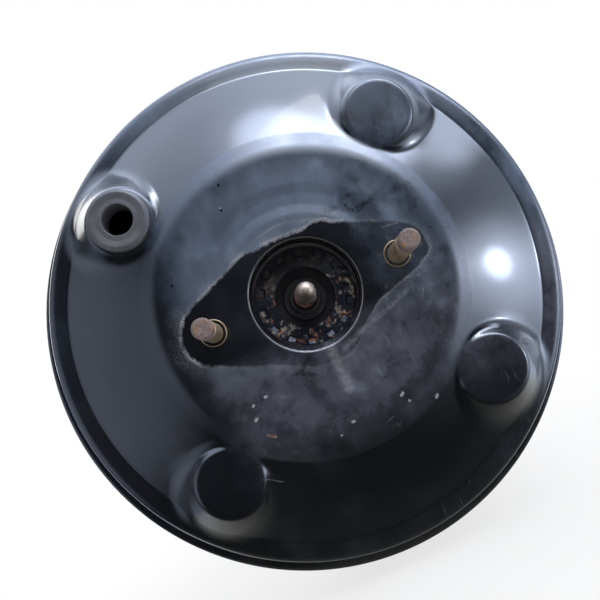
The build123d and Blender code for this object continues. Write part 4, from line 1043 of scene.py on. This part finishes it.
def wound_wire(name, radii, seats, wire, turns, body, material, replaced):
    """Tube of wire diameter w round the helix (r cos a, y, r sin a), both ends closed by a flat disc.

    The height y follows a smooth S in the turn number: slow in the first and last three quarters of a
    turn, where the coil closes on its seat, and even between them; r goes evenly from one radius to the
    other. The tube's cross section is square to the helix's own direction."""
    steps_a_turn, around, seat_gap = 56, 20, 0.3
    steps = int(turns * steps_a_turn)
    share = np.linspace(0.0, 1.0, steps + 1)
    slow = 0.75 / turns
    bends = [0.0, slow * 0.6, slow * 1.4, 1 - slow * 1.4, 1 - slow * 0.6, 1.0]
    rate = np.interp(share, bends, [0.3, 0.3, 1.0, 1.0, 0.3, 0.3])
    climb = np.concatenate([[0.0], np.cumsum((rate[1:] + rate[:-1]) / 2)])
    first, last = seats[0] + wire / 2 + seat_gap, seats[1] - wire / 2 - seat_gap
    station = first + (last - first) * climb / climb[-1]
    angle = share * turns * 2 * math.pi
    radius = radii[0] + (radii[1] - radii[0]) * climb / climb[-1]
    centre = np.stack([radius * np.cos(angle), station, radius * np.sin(angle)], axis=1)
    along = np.gradient(centre, axis=0)
    along /= np.linalg.norm(along, axis=1)[:, None]
    outward = np.stack([np.cos(angle), 0 * angle, np.sin(angle)], axis=1)
    outward -= np.sum(outward * along, axis=1)[:, None] * along
    outward /= np.linalg.norm(outward, axis=1)[:, None]
    across = np.cross(along, outward)
    turn_angle = (np.arange(around) * 2 * math.pi / around)[None, :, None]
    ring = np.cos(turn_angle) * outward[:, None] + np.sin(turn_angle) * across[:, None]
    points = centre[:, None] + wire / 2 * ring
    faces = grid_faces(steps + 1, around, False).tolist()
    faces.append(list(range(around)))
    faces.append([steps * around + part for part in range(around)][::-1])
    return finished(name, points.reshape(-1, 3), faces, body, material, replaced, 50.0)


wire_steel = old_steel(
    "spring_wire", (0.26, 0.25, 0.25), 0.33, (((0.10, 0.07, 0.05), 0.2, 0.55, 0.72, 0.6, 7.0),)
)
spring = wound_wire(
    "return_spring_coil", (30.6, 30.6), (-94.5, -17.9), 3.6, 6, "housing", wire_steel,
    ["return_spring"],
)
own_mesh(spring)

# ------------------------------------------------------------------ control valve
# Turned plunger with its stop key, and the rubber poppet with its washer, cup and two springs, all
# inside the valve body's tube.
refinish("valve_plunger", old_steel("plunger_steel", (0.52, 0.52, 0.53), 0.24, streak=(0.3, 3.0, 0.3)))
refinish("stop_key", bright_steel)
refinish("poppet_valve", seal_rubber)
refinish("poppet_washer", bright_steel)
refinish("poppet_cup", bright_steel)
wound_wire(
    "poppet_spring_coil", (8.65, 8.65), (-0.9, 13.0), 1.2, 4, "power_piston", wire_steel,
    ["poppet_spring"],
)
input_spring = wound_wire(
    "input_return_spring_coil", (12.6, 8.6), (14.2, 27.5), 1.8, 4, "power_piston", wire_steel,
    ["input_return_spring"],
)
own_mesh(input_spring)

# ------------------------------------------------------------------ air filter and end cap
# Felt silencer, foam filter and a windowed resin cap close the tube round the input rod.


def fibre(name, colour, scale, depth):
    """Open fibre or foam: dark pores between pale strands at one scale, clumped at a larger one."""
    mat = Finish(name)
    cells = mat.add("TexVoronoi", {"Vector": mat.at(), "Scale": scale}, feature="DISTANCE_TO_EDGE")
    strand = mat.step(cells.outputs["Distance"], 0.02, 0.25, 1.0, 0.0)
    clump = mat.grain(0.35, 5.0, 0.7)
    shade = mat.blend(strand, toned(colour, 0.35), colour)
    return mat.set(
        Base_Color=mat.blend(mat.times(clump, 0.5), shade, toned(colour, 0.6)),
        Roughness=0.95,
        Sheen_Weight=0.3,
        Normal=mat.bump(mat.plus(strand, clump), depth),
    )


refinish("air_silencer", fibre("silencer_felt", (0.28, 0.275, 0.26), 3.2, 0.3))
refinish("air_filter", fibre("filter_foam", (0.11, 0.11, 0.115), 1.8, 0.4))
refinish("filter_cap", moulded_resin("cap_resin", (0.030, 0.030, 0.033), 0.4, (1.0, 0.3, 1.0)))

# ------------------------------------------------------------------ dust boot
# Moulded bellows from the shell's neck to the end of the valve body's tube; it folds up as the
# piston goes forward.
fold_count, fold_start, fold_end = 5, 11.0, 42.0
fold_pitch = (fold_end - fold_start) / fold_count
boot_corners = [(27.3, 5.0), (27.3, fold_start)]
for fold in range(fold_count):
    crest = fold_start + (fold + 0.5) * fold_pitch
    boot_corners += [(32.0 - 0.9 * fold, crest), (25.0 - 0.9 * fold, crest + fold_pitch / 2)]
boot_corners[-1] = (20.5, fold_end)
boot_corners.append((20.5, 48.0))
boot_line = rounded(boot_corners, 1.1, 0.7, closed=False)
boot = turned_piece(
    "dust_boot_bellows", sheet_loop(boot_line, 1.4), "housing",
    black_rubber("boot_rubber", (0.022, 0.022, 0.023), 0.55, (0.075, 0.072, 0.068), 0.5),
    ["dust_boot"], crease=60.0,
)
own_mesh(boot)

# ------------------------------------------------------------------ input rod, lock nut and clevis
# Ball-ended rod, yellow zinc like its nut and clevis, with a rolled M10 thread that sets the length
# to the brake pedal.


def clean_zinc(name):
    """The studs' plating with few spots of rust and no rusted end."""
    return stud_zinc(name, 400.0, 1.0, 0.1)


ball_radius, ball_neck, ball_station = 4.6, 3.36, -11.0
ball_turn = np.linspace(0.0, math.pi - math.asin(ball_neck / ball_radius), 26)
ball_line = [0.0, ball_station] + ball_radius * np.stack([np.sin(ball_turn), -np.cos(ball_turn)], axis=1)
shank = [
    (ball_neck, -5.0), (4.2, -3.0), (4.2, 27.5), (10.2, 27.5), (10.2, 29.5), (4.2, 29.5), (4.2, 62.0),
    (4.9, 62.7), (4.9, 96.0), (3.9, 97.0), (0.0, 97.0),
]
rod_line = np.concatenate([ball_line, rounded([ball_line[-1]] + shank, 0.4, 0.25, closed=False)[1:]])
turned_piece(
    "input_rod_shank", rod_line, "push_rod", clean_zinc("input_rod_zinc"),
    ["input_rod"], around=48, thread=(64.0, 95.5, 1.5, 0.75),
)
refinish("lock_nut", clean_zinc("nut_zinc"))
refinish("clevis", clean_zinc("clevis_zinc"))
